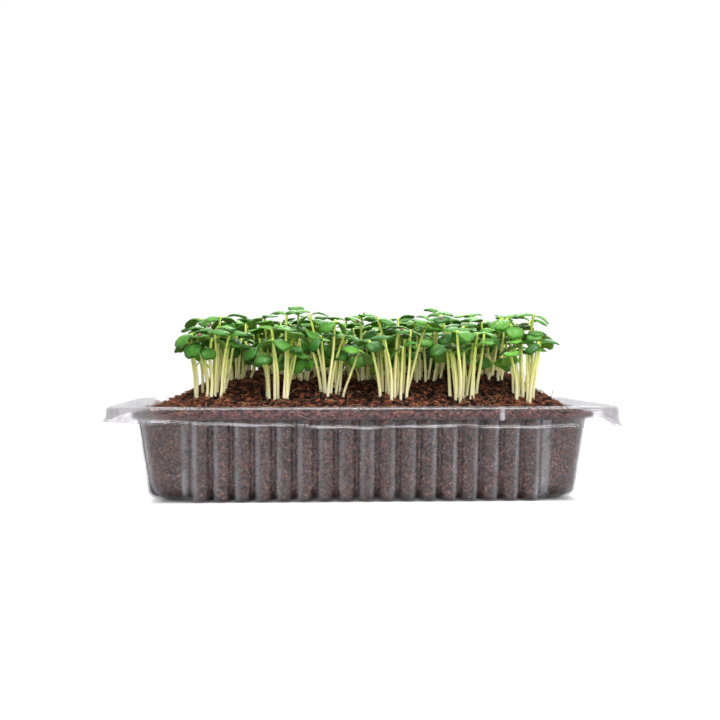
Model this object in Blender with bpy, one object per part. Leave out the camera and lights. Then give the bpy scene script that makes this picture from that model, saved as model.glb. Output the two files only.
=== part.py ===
"""Shiso microgreens in a clear ribbed tray: tray, growing medium and bunches of seedlings.

Metres, +Z up. The origin is the centre of the tray's underside, X runs along the tray's length.
"""

import math
import random

import bmesh
import bpy
import numpy as np
from mathutils import Matrix, Vector

MM = 0.001

# Tray, all sizes in millimetres. The body outline runs through the middle of its wall between the ribs.
BODY_HALF_X = 83.5
BODY_HALF_Y = 58.2
BODY_CORNER = 17.0
DRAFT = 4.7
WALL = 0.8
SHOULDER_Z = 30.0
FLANGE_Z = 33.0
BEAD_RISE = 1.5
BEAD_FROM_Y = 59.4
SKIRT_Z = 30.4
LIP_Z = 29.8
LIP_SAG = 1.9
SAG_PLACES = (-46.0, 0.0, 46.0)
FOOT_FILLET = 5.0
FOOT_RISE = 6.0
COLLAR_OUT = 3.4
FLANGE_END = 12.1
FLANGE_FRONT = 8.0
FLANGE_CORNER = 23.0
LIP_OUT = 1.9

# Ribs: half-round flutes that bulge outwards from the body and end in rounded feet.
RIB_PITCH = 7.57
RIB_OUT = 2.3
RIBS_LONG = 17
RIBS_SHORT = 10
RIB_PROFILE = ((0.0, 0.0), (0.27, 1.0), (0.73, 1.0))
RIB_FOOT_SETBACK = 1.6
RIB_FOOT_RISE = 1.8
CORNER_STEPS = 4

# Growing medium.
SOIL_GAP = 0.5
SOIL_LEDGE_OUT = 1.7
SOIL_EDGE_Z = 33.0
SOIL_RISE = 9.5
SOIL_SLOPE_LEFT = 34.0
SOIL_SLOPE_RIGHT = 24.0
SOIL_SLOPE_SIDE = 42.0
SOIL_CELL = 7.4
MOUNDS = (
    (-46.0, 6.0, 15.0, 2.6),
    (-6.0, 16.0, 15.0, 2.4),
    (44.0, -10.0, 13.0, 4.6),
    (20.0, 20.0, 18.0, 1.2),
    (-26.0, -30.0, 13.0, 1.0),
)
HOLLOWS = (
    (-68.0, -34.0, 15.0, 1.6),
    (72.0, -30.0, 14.0, 1.4),
    (20.0, -24.0, 10.0, 1.6),
)

# Seedling bunches.
SEED = 27
ROW_Y = (-40.0, -20.0, 0.0, 20.0, 40.0)
ROW_HALF_X = (58.0, 47.0, 58.0, 47.0, 58.0)
ROW_COUNT = (6, 5, 6, 5, 6)
BUNCH_JITTER = 3.0
PLUG_RADIUS = 3.4
PLUG_FOOT_RADIUS = 1.8
PLUG_DEPTH = 12.0
PLUG_BELOW_SOIL = 1.4
HOLE_GAP = 0.6
HOLE_SIDES = 6
TIP_LEVEL = (58.0, 65.0)
TALL_TIP_LEVEL = (66.5, 70.5)
LOW_TIP_LEVEL = (50.0, 57.0)
TALL_SHARE = 0.16
LOW_SHARE = 0.14
STEM_RADIUS = (0.98, 0.86)
STEM_STEPS = 3
LEAF_LENGTH = (6.8, 8.2)
LEAF_RISE = (-36, 32)
LEAF_WIDTH_SHARE = (0.86, 1.0)
LEAF_THICKNESS = 0.7
LEAF_POINTS = 8
LEAF_ROOT = 0.15
LEAF_NOTCH = 0.12
LEAF_FOLD = 0.26
LEAF_SAMPLES_ALONG = (0.1, 0.4, 0.7, 0.96)
LEAF_SAMPLES_ACROSS = (-0.45, -0.15, 0.15, 0.45)
CLEARANCE = 2.05
TRIES = 160


def clear_scene():
    for obj in list(bpy.data.objects):
        bpy.data.objects.remove(obj, do_unlink=True)


def new_collection(name, hidden=False):
    collection = bpy.data.collections.new(name)
    bpy.context.scene.collection.children.link(collection)
    collection.hide_render = hidden
    return collection


def new_material(name, colour, roughness, alpha=1.0):
    material = bpy.data.materials.new(name)
    material.use_nodes = True
    shader = material.node_tree.nodes["Principled BSDF"]
    shader.inputs["Base Color"].default_value = (*colour, 1.0)
    shader.inputs["Roughness"].default_value = roughness
    shader.inputs["Metallic"].default_value = 0.0
    shader.inputs["Alpha"].default_value = alpha
    return material


def object_from_bmesh(name, bm, collection, material=None):
    mesh = bpy.data.meshes.new(name)
    bm.to_mesh(mesh)
    bm.free()
    obj = bpy.data.objects.new(name, mesh)
    collection.objects.link(obj)
    if material is not None:
        mesh.materials.append(material)
    return obj


def apply_modifiers(obj):
    """Replaces the object's mesh by its evaluated one and drops the modifiers."""
    bpy.context.view_layer.update()
    graph = bpy.context.evaluated_depsgraph_get()
    mesh = bpy.data.meshes.new_from_object(obj.evaluated_get(graph))
    obj.modifiers.clear()
    obj.data = mesh


# Tray: a section of bends carried round the outline, with an upper and a lower face

def rib_columns(count, reach):
    """Rib columns along one side: (position along the side, rib height 0 to 1)."""
    pitch = min(RIB_PITCH, 2 * reach / count)
    start = -count * pitch / 2
    columns = [(start + (rib + share) * pitch, height) for rib in range(count) for share, height in RIB_PROFILE]
    columns.append((start + count * pitch, 0.0))
    return columns


def body_columns():
    """Columns round the body, anticlockwise: (point on the outline, outward normal, rib height)."""
    sides = (
        ((0, -BODY_HALF_Y), (1, 0), (0, -1), RIBS_LONG),
        ((BODY_HALF_X, 0), (0, 1), (1, 0), RIBS_SHORT),
        ((0, BODY_HALF_Y), (-1, 0), (0, 1), RIBS_LONG),
        ((-BODY_HALF_X, 0), (0, -1), (-1, 0), RIBS_SHORT),
    )
    reach = (BODY_HALF_X - BODY_CORNER, BODY_HALF_Y - BODY_CORNER)
    found = []
    for index, (middle, along, normal, count) in enumerate(sides):
        along, normal = np.array(along, float), np.array(normal, float)
        for position, height in rib_columns(count, reach[index % 2]):
            found.append((np.array(middle, float) + along * position, normal, height))
        centre = along * reach[index % 2] + normal * reach[1 - index % 2]
        from_long_side = index % 2 == 0
        steps = range(0, CORNER_STEPS) if from_long_side else range(1, CORNER_STEPS + 1)
        for step in steps:
            angle = step / CORNER_STEPS * math.pi / 2
            turned = normal * math.cos(angle) + along * math.sin(angle)
            found.append((centre + turned * BODY_CORNER, turned, 0.0))
    return found


def draft_at(z):
    """How far the wall has drawn in at a level, against the shoulder."""
    return DRAFT * (1 - z / SHOULDER_Z)


def body_ring(valley, crest, tilt, side):
    """One bend of the fluted wall. valley and crest are (out, level), side is +1 above and -1 below."""
    ring = []
    for point, normal, height in body_columns():
        out = valley[0] * (1 - height) + crest[0] * height + side * tilt[0] * WALL / 2
        level = valley[1] * (1 - height) + crest[1] * height + side * tilt[1] * WALL / 2
        ring.append((*((point + normal * out) * MM), level * MM))
    return ring


def rounded_rectangle(half_x, half_y, corner, steps, extra=()):
    """Points round a rounded rectangle, anticlockwise, with extra points along the long sides."""
    ring = []
    for sign_x, sign_y, start in ((1, -1, -90), (1, 1, 0), (-1, 1, 90), (-1, -1, 180)):
        for step in range(steps + 1):
            angle = math.radians(start + 90 * step / steps)
            x = sign_x * (half_x - corner) + corner * math.cos(angle)
            ring.append((x, sign_y * (half_y - corner) + corner * math.sin(angle)))
        if start in (0, 180):
            ring += [(-sign_x * place, sign_y * half_y) for place in extra]
    return ring


def bead_level(x, y, level):
    """The collar's top is raised along the long sides."""
    return level + (BEAD_RISE if abs(y) > BEAD_FROM_Y else 0.0)


def sagging_level(x, y, level):
    """The lip hangs lower towards the middle of the long sides."""
    share = max(0.0, 1 - (x / (BODY_HALF_X - 6)) ** 2) if abs(y) > BODY_HALF_Y else 0.0
    return level - LIP_SAG * share


def plain_level(x, y, level):
    return level


def rim_ring(out_x, out_y, corner, level, level_rule, tilt, side):
    """One bend of the collar, flange or skirt, with its upper or lower face."""
    shift = side * tilt[0] * WALL / 2
    half_x, half_y = BODY_HALF_X + out_x + shift, BODY_HALF_Y + out_y + shift
    ring = rounded_rectangle(half_x, half_y, corner + shift, CORNER_STEPS + 1, SAG_PLACES)
    rise = side * tilt[1] * WALL / 2
    return [(x * MM, y * MM, (level_rule(x, y, level) + rise) * MM) for x, y in ring]


def build_face(bm, side):
    """The upper or the lower face of the whole tray, returned with its outermost ring."""
    low = draft_at(FOOT_RISE)
    body_bends = (
        ((-DRAFT - FOOT_FILLET, WALL / 2), (-DRAFT + RIB_OUT - RIB_FOOT_SETBACK, WALL / 2), (0, 1)),
        ((-low, FOOT_RISE), (RIB_OUT - draft_at(RIB_FOOT_RISE), RIB_FOOT_RISE), (-0.9, 0.4)),
        ((0, SHOULDER_Z), (RIB_OUT, SHOULDER_Z), (-1, 1)),
    )
    corner = BODY_CORNER + COLLAR_OUT
    skirt = (FLANGE_END + 0.5, FLANGE_FRONT + 0.5)
    lip = (FLANGE_END + LIP_OUT, FLANGE_FRONT + LIP_OUT)
    rim_bends = (
        (COLLAR_OUT - 0.4, COLLAR_OUT - 0.4, corner, SHOULDER_Z, plain_level, (-1, 1)),
        (COLLAR_OUT, COLLAR_OUT, corner, FLANGE_Z, bead_level, (-1, 1)),
        (COLLAR_OUT + 1.6, COLLAR_OUT + 1.6, corner, FLANGE_Z - 0.6, plain_level, (0, 1)),
        (FLANGE_END, FLANGE_FRONT, FLANGE_CORNER, FLANGE_Z, plain_level, (1, 1)),
        (*skirt, FLANGE_CORNER, SKIRT_Z, sagging_level, (1, 1)),
        (*lip, FLANGE_CORNER, LIP_Z, sagging_level, (0, 1)),
    )
    body = [[bm.verts.new(p) for p in body_ring(*bend, side)] for bend in body_bends]
    rim = [[bm.verts.new(p) for p in rim_ring(*bend, side)] for bend in rim_bends]
    bm.faces.new(body[0])
    for rings in (body, rim):
        for lower, upper in zip(rings, rings[1:]):
            loft(bm, lower, upper)
    shoulder = ring_edges(bm, body[-1]) + ring_edges(bm, rim[0])
    bmesh.ops.triangle_fill(bm, edges=shoulder, use_beauty=True, use_dissolve=False)
    return rim[-1]


def loft(bm, lower, upper):
    for index in range(len(lower)):
        after = (index + 1) % len(lower)
        bm.faces.new((lower[index], lower[after], upper[after], upper[index]))


def ring_edges(bm, ring):
    return [bm.edges.get((ring[i - 1], ring[i])) for i in range(len(ring))]


def build_tray(collection, material):
    """The clear shell: floor, fluted wall, shoulder, collar, flange, skirt and lip."""
    bm = bmesh.new()
    above = build_face(bm, 1)
    below = build_face(bm, -1)
    loft(bm, above, below)
    bmesh.ops.triangulate(bm, faces=bm.faces)
    bmesh.ops.recalc_face_normals(bm, faces=bm.faces)
    return object_from_bmesh("tray", bm, collection, material)


# Growing medium

def bump(x, y, place):
    cx, cy, spread, height = place
    return height * math.exp(-((x - cx) ** 2 + (y - cy) ** 2) / (2 * spread**2))


def smooth(share):
    share = min(max(share, 0.0), 1.0)
    return share * share * (3 - 2 * share)


def soil_height(x, y):
    """Level of the medium: slopes up from the collar, with broad mounds and hollows."""
    half_x, half_y = BODY_HALF_X + SOIL_LEDGE_OUT, BODY_HALF_Y + SOIL_LEDGE_OUT
    slope = SOIL_SLOPE_LEFT if x < 0 else SOIL_SLOPE_RIGHT
    share = smooth((half_x - abs(x)) / slope) * smooth((half_y - abs(y)) / SOIL_SLOPE_SIDE)
    rise = SOIL_RISE + sum(bump(x, y, place) for place in MOUNDS)
    rise -= sum(bump(x, y, place) for place in HOLLOWS)
    return SOIL_EDGE_Z + share * rise


def crumb_relief(x, y):
    """Crumbs and clods, larger than life, as relief on the medium."""
    wave = math.sin(1.31 * x + 0.7 * math.sin(0.9 * y)) * math.cos(1.13 * y + 0.6 * math.sin(0.8 * x))
    return 0.8 * wave + 0.4 * math.sin(0.71 * x + 1.9 * y)


def soil_ring(out, level):
    """A ring of the block of medium, its corners kept parallel to the tray's."""
    ring = rounded_rectangle(BODY_HALF_X + out, BODY_HALF_Y + out, BODY_CORNER + out, CORNER_STEPS)
    return [(x * MM, y * MM, level * MM) for x, y in ring]


def build_soil(collection, material):
    """The block that fills the tray. Its top is cut into a grid and raised by formula."""
    clear = WALL / 2 + SOIL_GAP
    low_z = FOOT_RISE + 1.2
    levels = (
        (-DRAFT - FOOT_FILLET - clear, WALL + SOIL_GAP),
        (-draft_at(low_z) - clear, low_z),
        (-clear, SHOULDER_Z + clear),
        (SOIL_LEDGE_OUT, SHOULDER_Z + clear),
        (SOIL_LEDGE_OUT, SOIL_EDGE_Z),
    )
    bm = bmesh.new()
    rings = [[bm.verts.new(p) for p in soil_ring(out, level)] for out, level in levels]
    for lower, upper in zip(rings, rings[1:]):
        loft(bm, lower, upper)
    bm.faces.new(rings[0])
    bm.faces.new(rings[-1])
    bmesh.ops.recalc_face_normals(bm, faces=bm.faces)
    top_z = (SOIL_EDGE_Z - 0.01) * MM
    for axis, half in ((0, BODY_HALF_X), (1, BODY_HALF_Y)):
        count = round(2 * half / SOIL_CELL)
        normal = Vector((1, 0, 0)) if axis == 0 else Vector((0, 1, 0))
        for step in range(count):
            place = normal * ((-half + 2 * half * (step + 0.5) / count) * MM)
            faces = [f for f in bm.faces if all(v.co.z > top_z for v in f.verts)]
            edges = list({e for f in faces for e in f.edges})
            verts = list({v for f in faces for v in f.verts})
            bmesh.ops.bisect_plane(
                bm, geom=verts + edges + faces, dist=0.0002, plane_co=place, plane_no=normal
            )
    top = [v for v in bm.verts if v.co.z > top_z]
    rim = {v for v in top if any(f.normal.z < 0.5 for f in v.link_faces)}
    for vert in top:
        if vert not in rim:
            x, y = vert.co.x / MM, vert.co.y / MM
            vert.co.z = (soil_height(x, y) + crumb_relief(x, y) * edge_fade(x, y)) * MM
    bmesh.ops.triangulate(bm, faces=bm.faces)
    return object_from_bmesh("growing_medium", bm, collection, material)


def edge_fade(x, y):
    """Takes the crumbs down next to the collar."""
    return smooth(min(BODY_HALF_X + 3 - abs(x), BODY_HALF_Y + 3 - abs(y)) / 9)


# Seedling plan: where every stem and leaf goes, in millimetres

def unit(vector):
    return vector / np.linalg.norm(vector)


def bunch_places():
    """Bunch centres: staggered rows with a seeded drift, (x, y)."""
    rng = random.Random(SEED)
    places = []
    for y, half, count in zip(ROW_Y, ROW_HALF_X, ROW_COUNT):
        for index in range(count):
            x = -half + 2 * half * index / (count - 1)
            places.append(
                (x + rng.uniform(-1, 1) * BUNCH_JITTER, y + rng.uniform(-1, 1) * BUNCH_JITTER)
            )
    return places


def stem_points(root, tip, bow, steps):
    """A stem from root to tip: it leaves the soil upright and bows over towards the tip."""
    found = []
    for step in range(steps + 1):
        t = step / steps
        side = t * t * (1 - bow) + t * bow
        flat = root[:2] + (tip[:2] - root[:2]) * side
        found.append(np.array((*flat, root[2] + (tip[2] - root[2]) * t)))
    return found


def tip_range(draw):
    """Most tips stand level; a few seedlings are taller and a few shorter."""
    if draw < LOW_SHARE:
        return LOW_TIP_LEVEL
    return TALL_TIP_LEVEL if draw > 1 - TALL_SHARE else TIP_LEVEL


def draw_seedling(rng, centre, soil_z, heading, spread):
    """One seedling: root, tip, bow, and two leaves as (base, along, across, length, width)."""
    root_out = rng.uniform(0.9, 2.1)
    level = rng.uniform(*tip_range(rng.random()))
    height = level - soil_z
    lean = rng.uniform(0.25, 1.0) * spread
    root = np.array((centre[0] + root_out * math.cos(heading), centre[1] + root_out * math.sin(heading), 0.0))
    root[2] = soil_z - PLUG_BELOW_SOIL
    away = heading + rng.uniform(-0.5, 0.5)
    tip = root + np.array((lean * math.cos(away), lean * math.sin(away), height + PLUG_BELOW_SOIL))
    bow = rng.uniform(0.1, 0.8)
    turn = rng.uniform(0, math.pi)
    stem_way = unit(np.array((0.9 * (tip[0] - root[0]), 0.9 * (tip[1] - root[1]), height)))
    leaves = []
    for side in (0, 1):
        heading_leaf = turn + side * math.pi + rng.uniform(-0.25, 0.25)
        rise = math.radians(rng.uniform(*LEAF_RISE))
        flat = np.array((math.cos(heading_leaf), math.sin(heading_leaf), 0.0))
        flat = unit(flat - stem_way * float(flat @ stem_way))
        along = unit(flat * math.cos(rise) + stem_way * math.sin(rise))
        across = unit(np.cross(stem_way, along))
        length = rng.uniform(*LEAF_LENGTH)
        width = length * rng.uniform(*LEAF_WIDTH_SHARE)
        leaves.append((tip - stem_way * 0.4, along, across, length, width))
    return root, tip, bow, leaves


def sample_points(seedling):
    """Points over both leaves and up the stem, for keeping seedlings apart."""
    root, tip, bow, leaves = seedling
    points = [p for p in stem_points(root, tip, bow, 12)[3:]]
    for base, along, across, length, width in leaves:
        for share in LEAF_SAMPLES_ALONG:
            for side in LEAF_SAMPLES_ACROSS:
                half = math.sin(math.pi * min(max(share, 0.15), 0.86)) ** 0.5
                points.append(base + along * share * length + across * side * width * half)
    return np.array(points)


def clear_of(points, taken):
    """Smallest distance from these points to those already taken."""
    if not len(taken):
        return 1e9
    gaps = points[:, None, :] - taken[None, :, :]
    return math.sqrt(float((gaps**2).sum(axis=2).min()))


def plan_bunches():
    """Every bunch as (centre, soil level, seedlings), each seedling clear of those placed before."""
    rng = random.Random(SEED + 1)
    bunches = []
    taken = np.zeros((0, 3))
    for x, y in bunch_places():
        soil_z = soil_height(x, y)
        outward = math.atan2(y / BODY_HALF_Y, x / BODY_HALF_X)
        edge = min(1.0, math.hypot(x / BODY_HALF_X, y / BODY_HALF_Y))
        count = 4 if rng.random() < 0.3 else 3
        start = outward + rng.uniform(-0.4, 0.4)
        seedlings = []
        for index in range(count):
            heading = start + 2 * math.pi * index / count
            for attempt in range(TRIES):
                spread = 5.0 + 6.5 * attempt / TRIES + 2.5 * edge * math.cos(heading - outward)
                drawn = draw_seedling(rng, (x, y), soil_z, heading, spread)
                points = sample_points(drawn)
                if clear_of(points, taken) > CLEARANCE:
                    seedlings.append(drawn)
                    taken = np.vstack((taken, points))
                    break
                heading += rng.uniform(-0.5, 0.5)
        bunches.append(((x, y), soil_z, seedlings))
    return bunches


# Seedling solids

def stem_object(seedling, collection):
    """A tapered stem as a curve tube, made a mesh with its caps welded."""
    root, tip, bow, _ = seedling
    points = stem_points(root, tip, bow, STEM_STEPS)
    data = bpy.data.curves.new("stem", "CURVE")
    data.dimensions = "3D"
    data.bevel_depth = MM
    data.bevel_resolution = 0
    data.use_fill_caps = True
    spline = data.splines.new("POLY")
    spline.points.add(len(points) - 1)
    for index, point in enumerate(points):
        share = index / (len(points) - 1)
        spline.points[index].co = (*(point * MM), 1.0)
        spline.points[index].radius = STEM_RADIUS[0] + (STEM_RADIUS[1] - STEM_RADIUS[0]) * share
    curve = bpy.data.objects.new("stem", data)
    collection.objects.link(curve)
    bpy.context.view_layer.update()
    graph = bpy.context.evaluated_depsgraph_get()
    mesh = bpy.data.meshes.new_from_object(curve.evaluated_get(graph))
    stem = bpy.data.objects.new("stem", mesh)
    stem.matrix_world = curve.matrix_world
    bpy.data.objects.remove(curve)
    bm = bmesh.new()
    bm.from_mesh(mesh)
    bmesh.ops.remove_doubles(bm, verts=bm.verts, dist=0.00002)
    bmesh.ops.recalc_face_normals(bm, faces=bm.faces)
    bm.to_mesh(mesh)
    bm.free()
    collection.objects.link(stem)
    return stem


def leaf_surface(share, side):
    """Leaf form in its own length: height above its plane, a dome whose edge and tip droop."""
    return 0.16 * math.sin(math.pi * min(share, 1.0)) * (1 - side * side) - 0.12 * share * share


def leaf_object(leaf, collection):
    """A round seed leaf: a disc of triangles shaped by formula and thickened."""
    base, along, across, length, width = leaf
    normal = np.cross(along, across)
    bm = bmesh.new()
    bmesh.ops.create_circle(bm, cap_ends=True, cap_tris=True, segments=LEAF_POINTS, radius=1.0)
    for vert in bm.verts:
        side = vert.co.y
        share = (1 - vert.co.x) / 2
        if share > 0.1:
            share *= 1 - LEAF_NOTCH + LEAF_FOLD * abs(side)
        half = 0.5 * width * side * (0.86 + 0.24 * share)
        place = base + along * (LEAF_ROOT + share * (length - LEAF_ROOT)) + across * half
        place = place + normal * leaf_surface(share, side) * length
        vert.co = Vector(place * MM)
    bmesh.ops.solidify(bm, geom=list(bm.faces), thickness=LEAF_THICKNESS * MM)
    bmesh.ops.recalc_face_normals(bm, faces=bm.faces)
    return object_from_bmesh("leaf", bm, collection)


def plug_object(name, centre, soil_z, collection, material):
    """The knot of roots that a bunch grows from: a taper, sunk in the medium."""
    bm = bmesh.new()
    top = soil_z - PLUG_BELOW_SOIL + 0.6
    middle = Vector((centre[0], centre[1], top - PLUG_DEPTH / 2)) * MM
    bmesh.ops.create_cone(
        bm,
        cap_ends=True,
        cap_tris=False,
        segments=HOLE_SIDES,
        radius1=PLUG_FOOT_RADIUS * MM,
        radius2=PLUG_RADIUS * MM,
        depth=PLUG_DEPTH * MM,
        matrix=Matrix.Translation(middle),
    )
    return object_from_bmesh(name, bm, collection, material)


def build_bunch(name, bunch, parts, material):
    """Root knot, stems and seed leaves of one bunch, joined in one solid."""
    centre, soil_z, seedlings = bunch
    knot = plug_object(name, centre, soil_z, parts, material)
    pieces = new_collection(name + "_pieces", hidden=True)
    for seedling in seedlings:
        stem_object(seedling, pieces)
        for leaf in seedling[3]:
            leaf_object(leaf, pieces)
    join = knot.modifiers.new("join", "BOOLEAN")
    join.operation = "UNION"
    join.operand_type = "COLLECTION"
    join.collection = pieces
    join.solver = "MANIFOLD"
    apply_modifiers(knot)
    for piece in list(pieces.objects):
        bpy.data.objects.remove(piece, do_unlink=True)
    bpy.data.collections.remove(pieces)
    return knot


def cut_holes(soil, bunches, cutters):
    """Plain holes in the medium that the root knots stand in."""
    for (x, y), soil_z, _ in bunches:
        bm = bmesh.new()
        depth = PLUG_DEPTH + 8.0
        low = soil_z - PLUG_BELOW_SOIL + 0.6 - PLUG_DEPTH - HOLE_GAP
        bmesh.ops.create_cone(
            bm,
            cap_ends=True,
            cap_tris=False,
            segments=HOLE_SIDES,
            radius1=(PLUG_RADIUS + HOLE_GAP) * MM,
            radius2=(PLUG_RADIUS + HOLE_GAP) * MM,
            depth=depth * MM,
            matrix=Matrix.Translation(Vector((x, y, low + depth / 2)) * MM),
        )
        object_from_bmesh("hole", bm, cutters)
    cut = soil.modifiers.new("holes", "BOOLEAN")
    cut.operation = "DIFFERENCE"
    cut.operand_type = "COLLECTION"
    cut.collection = cutters
    cut.solver = "EXACT"
    apply_modifiers(soil)
    for piece in list(cutters.objects):
        bpy.data.objects.remove(piece, do_unlink=True)
    bpy.data.collections.remove(cutters)


def main():
    clear_scene()
    parts = new_collection("shiso_microgreens")
    clear_plastic = new_material("clear_plastic", (0.86, 0.88, 0.88), 0.08, 0.3)
    coir = new_material("coir", (0.09, 0.035, 0.018), 0.95)
    greens = new_material("greens", (0.09, 0.30, 0.05), 0.45)
    build_tray(parts, clear_plastic)
    soil = build_soil(parts, coir)
    bunches = plan_bunches()
    cut_holes(soil, bunches, new_collection("cutters", hidden=True))
    for index, bunch in enumerate(bunches):
        build_bunch(f"bunch_{index + 1:02d}", bunch, parts, greens)


main()
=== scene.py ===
# Shiso microgreens in a clear fluted tray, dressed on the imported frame.
# Lengths in the dictionaries are millimetres; everything is turned to metres as it goes into a mesh.
import bpy
import math
import random
import numpy as np
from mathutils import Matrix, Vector


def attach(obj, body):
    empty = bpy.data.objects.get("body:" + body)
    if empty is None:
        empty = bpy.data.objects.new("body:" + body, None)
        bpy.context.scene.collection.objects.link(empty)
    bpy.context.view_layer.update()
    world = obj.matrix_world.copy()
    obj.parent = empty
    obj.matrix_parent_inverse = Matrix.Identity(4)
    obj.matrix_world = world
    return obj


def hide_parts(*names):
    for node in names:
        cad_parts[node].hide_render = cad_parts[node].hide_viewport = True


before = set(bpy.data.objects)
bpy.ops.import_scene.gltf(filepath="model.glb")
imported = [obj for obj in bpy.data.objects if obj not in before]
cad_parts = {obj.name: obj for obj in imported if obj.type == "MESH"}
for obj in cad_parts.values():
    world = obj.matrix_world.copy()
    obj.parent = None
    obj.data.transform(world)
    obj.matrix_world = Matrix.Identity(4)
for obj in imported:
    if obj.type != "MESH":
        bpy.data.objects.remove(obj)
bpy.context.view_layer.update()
mm = 0.001
turn = 2 * math.pi


# Mesh helpers

def addMesh(name, points, quads, tris, materials, faceMaterials=None, uv=None, tint=None, smooth=True):
    # puts whole arrays in a mesh: points in millimetres, quads and tris as rows of point numbers
    quads = np.asarray(quads, np.int32).reshape(-1, 4)
    tris = np.asarray(tris, np.int32).reshape(-1, 3)
    mesh = bpy.data.meshes.new(name)
    mesh.vertices.add(len(points))
    mesh.vertices.foreach_set("co", (np.asarray(points, np.float64) * mm).astype(np.float32).ravel())
    loops = np.concatenate((quads.ravel(), tris.ravel()))
    mesh.loops.add(len(loops))
    mesh.loops.foreach_set("vertex_index", loops)
    starts = np.concatenate((np.arange(len(quads)) * 4, len(quads) * 4 + np.arange(len(tris)) * 3))
    mesh.polygons.add(len(starts))
    mesh.polygons.foreach_set("loop_start", starts.astype(np.int32))
    mesh.polygons.foreach_set("use_smooth", np.full(len(starts), smooth))
    for material in materials:
        mesh.materials.append(material)
    if faceMaterials is not None:
        mesh.polygons.foreach_set("material_index", np.asarray(faceMaterials, np.int32))
    if uv is not None:
        layer = mesh.uv_layers.new(name="UVMap")
        layer.uv.foreach_set("vector", np.asarray(uv, np.float32)[loops].ravel())
    if tint is not None:
        attribute = mesh.attributes.new("tint", "FLOAT", "POINT")
        attribute.data.foreach_set("value", np.asarray(tint, np.float32))
    mesh.update(calc_edges=True)
    piece = bpy.data.objects.new(name, mesh)
    bpy.context.scene.collection.objects.link(piece)
    return piece


def dress(piece, node=None):
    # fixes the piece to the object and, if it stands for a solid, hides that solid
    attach(piece, "root")
    if node:
        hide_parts(node)


def gridQuads(rows, columns, closed):
    # quads between neighbouring rows of a grid; closed joins the last column to the first
    row = np.arange(rows - 1)[:, None]
    column = np.arange(columns if closed else columns - 1)[None, :]
    after = (column + 1) % columns
    here, above = row * columns, (row + 1) * columns
    corners = (here + column, here + after, above + after, above + column)
    return np.stack(corners, axis=-1).reshape(-1, 4)


def poleTris(pole, ringStart, columns, upwards):
    # a fan from one point to a closed ring
    here = np.arange(columns)
    after = (here + 1) % columns
    pair = (ringStart + here, ringStart + after) if upwards else (ringStart + after, ringStart + here)
    return np.stack((np.full(columns, pole), *pair), axis=-1)


def capTris(rows, columns):
    # fans that close a band of rings at both ends, to the two points that follow the grid's own
    last = rows * columns
    low = poleTris(last, 0, columns, False)
    high = poleTris(last + 1, last - columns, columns, True)
    return np.concatenate((low, high))


def smooth01(share):
    # smoothstep: three times the share's square less twice its cube, with the share held between 0 and 1
    share = np.clip(share, 0.0, 1.0)
    return share * share * (3 - 2 * share)


def hash01(ix, iy, seed):
    # a number from 0 to 1 for each lattice point: the fraction left by a large sine
    value = np.sin(ix * 127.1 + iy * 311.7 + seed * 74.7) * 43758.5453
    return value - np.floor(value)


def cloudNoise(x, y, size, seed):
    # value noise: lattice numbers blended by smoothstep, -1 to 1
    x, y = x / size, y / size
    ix, iy = np.floor(x), np.floor(y)
    fx, fy = smooth01(x - ix), smooth01(y - iy)
    low = hash01(ix, iy, seed) * (1 - fx) + hash01(ix + 1, iy, seed) * fx
    high = hash01(ix, iy + 1, seed) * (1 - fx) + hash01(ix + 1, iy + 1, seed) * fx
    return 2 * (low * (1 - fy) + high * fy) - 1


def crumbNoise(x, y, size, seed):
    # round lumps: one scattered centre for each cell, height falls with the distance to the nearest, 0 to 1
    x, y = x / size, y / size
    ix, iy = np.floor(x), np.floor(y)
    nearest = np.full(np.shape(x), 9.0)
    for dx in (-1, 0, 1):
        for dy in (-1, 0, 1):
            cx = ix + dx + hash01(ix + dx, iy + dy, seed)
            cy = iy + dy + hash01(ix + dx, iy + dy, seed + 5)
            nearest = np.minimum(nearest, (x - cx) ** 2 + (y - cy) ** 2)
    return np.sqrt(np.clip(1 - nearest * 1.6, 0, 1))


# Material helpers

def feed(tree, node, values):
    # links each input to a node's output, or writes a plain number or colour in it
    for name, value in values.items():
        socket = node.inputs[name]
        if isinstance(value, bpy.types.NodeSocket):
            tree.links.new(value, socket)
        elif socket.type == "RGBA":
            socket.default_value = (*value, 1.0)
        else:
            socket.default_value = value


def newMaterial(name):
    # an empty material, its node tree and its main shader
    material = bpy.data.materials.new(name)
    material.use_nodes = True
    return material, material.node_tree, material.node_tree.nodes["Principled BSDF"]


def addNode(tree, kind, values=None, **settings):
    # a node with its settings, its inputs fed from the values
    node = tree.nodes.new(kind)
    for key, value in settings.items():
        setattr(node, key, value)
    feed(tree, node, values or {})
    return node


def placeNode(tree, source="Object"):
    # the place on the piece, axis by axis
    place = addNode(tree, "ShaderNodeTexCoord").outputs[source]
    return addNode(tree, "ShaderNodeSeparateXYZ", {"Vector": place}).outputs


def tintNode(tree):
    # the number that a mesh carries point by point
    return addNode(tree, "ShaderNodeAttribute", attribute_name="tint").outputs["Fac"]


def noiseNode(tree, scale, detail=3.0, roughness=0.55, source="Object", stretch=(1, 1, 1)):
    # noise on Object coordinates or the UV map, stretched through a Mapping node
    place = addNode(tree, "ShaderNodeTexCoord").outputs[source]
    stretched = addNode(tree, "ShaderNodeMapping", {"Vector": place, "Scale": stretch}).outputs["Vector"]
    values = {"Vector": stretched, "Scale": scale, "Detail": detail, "Roughness": roughness}
    return addNode(tree, "ShaderNodeTexNoise", values).outputs["Fac"]


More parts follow.
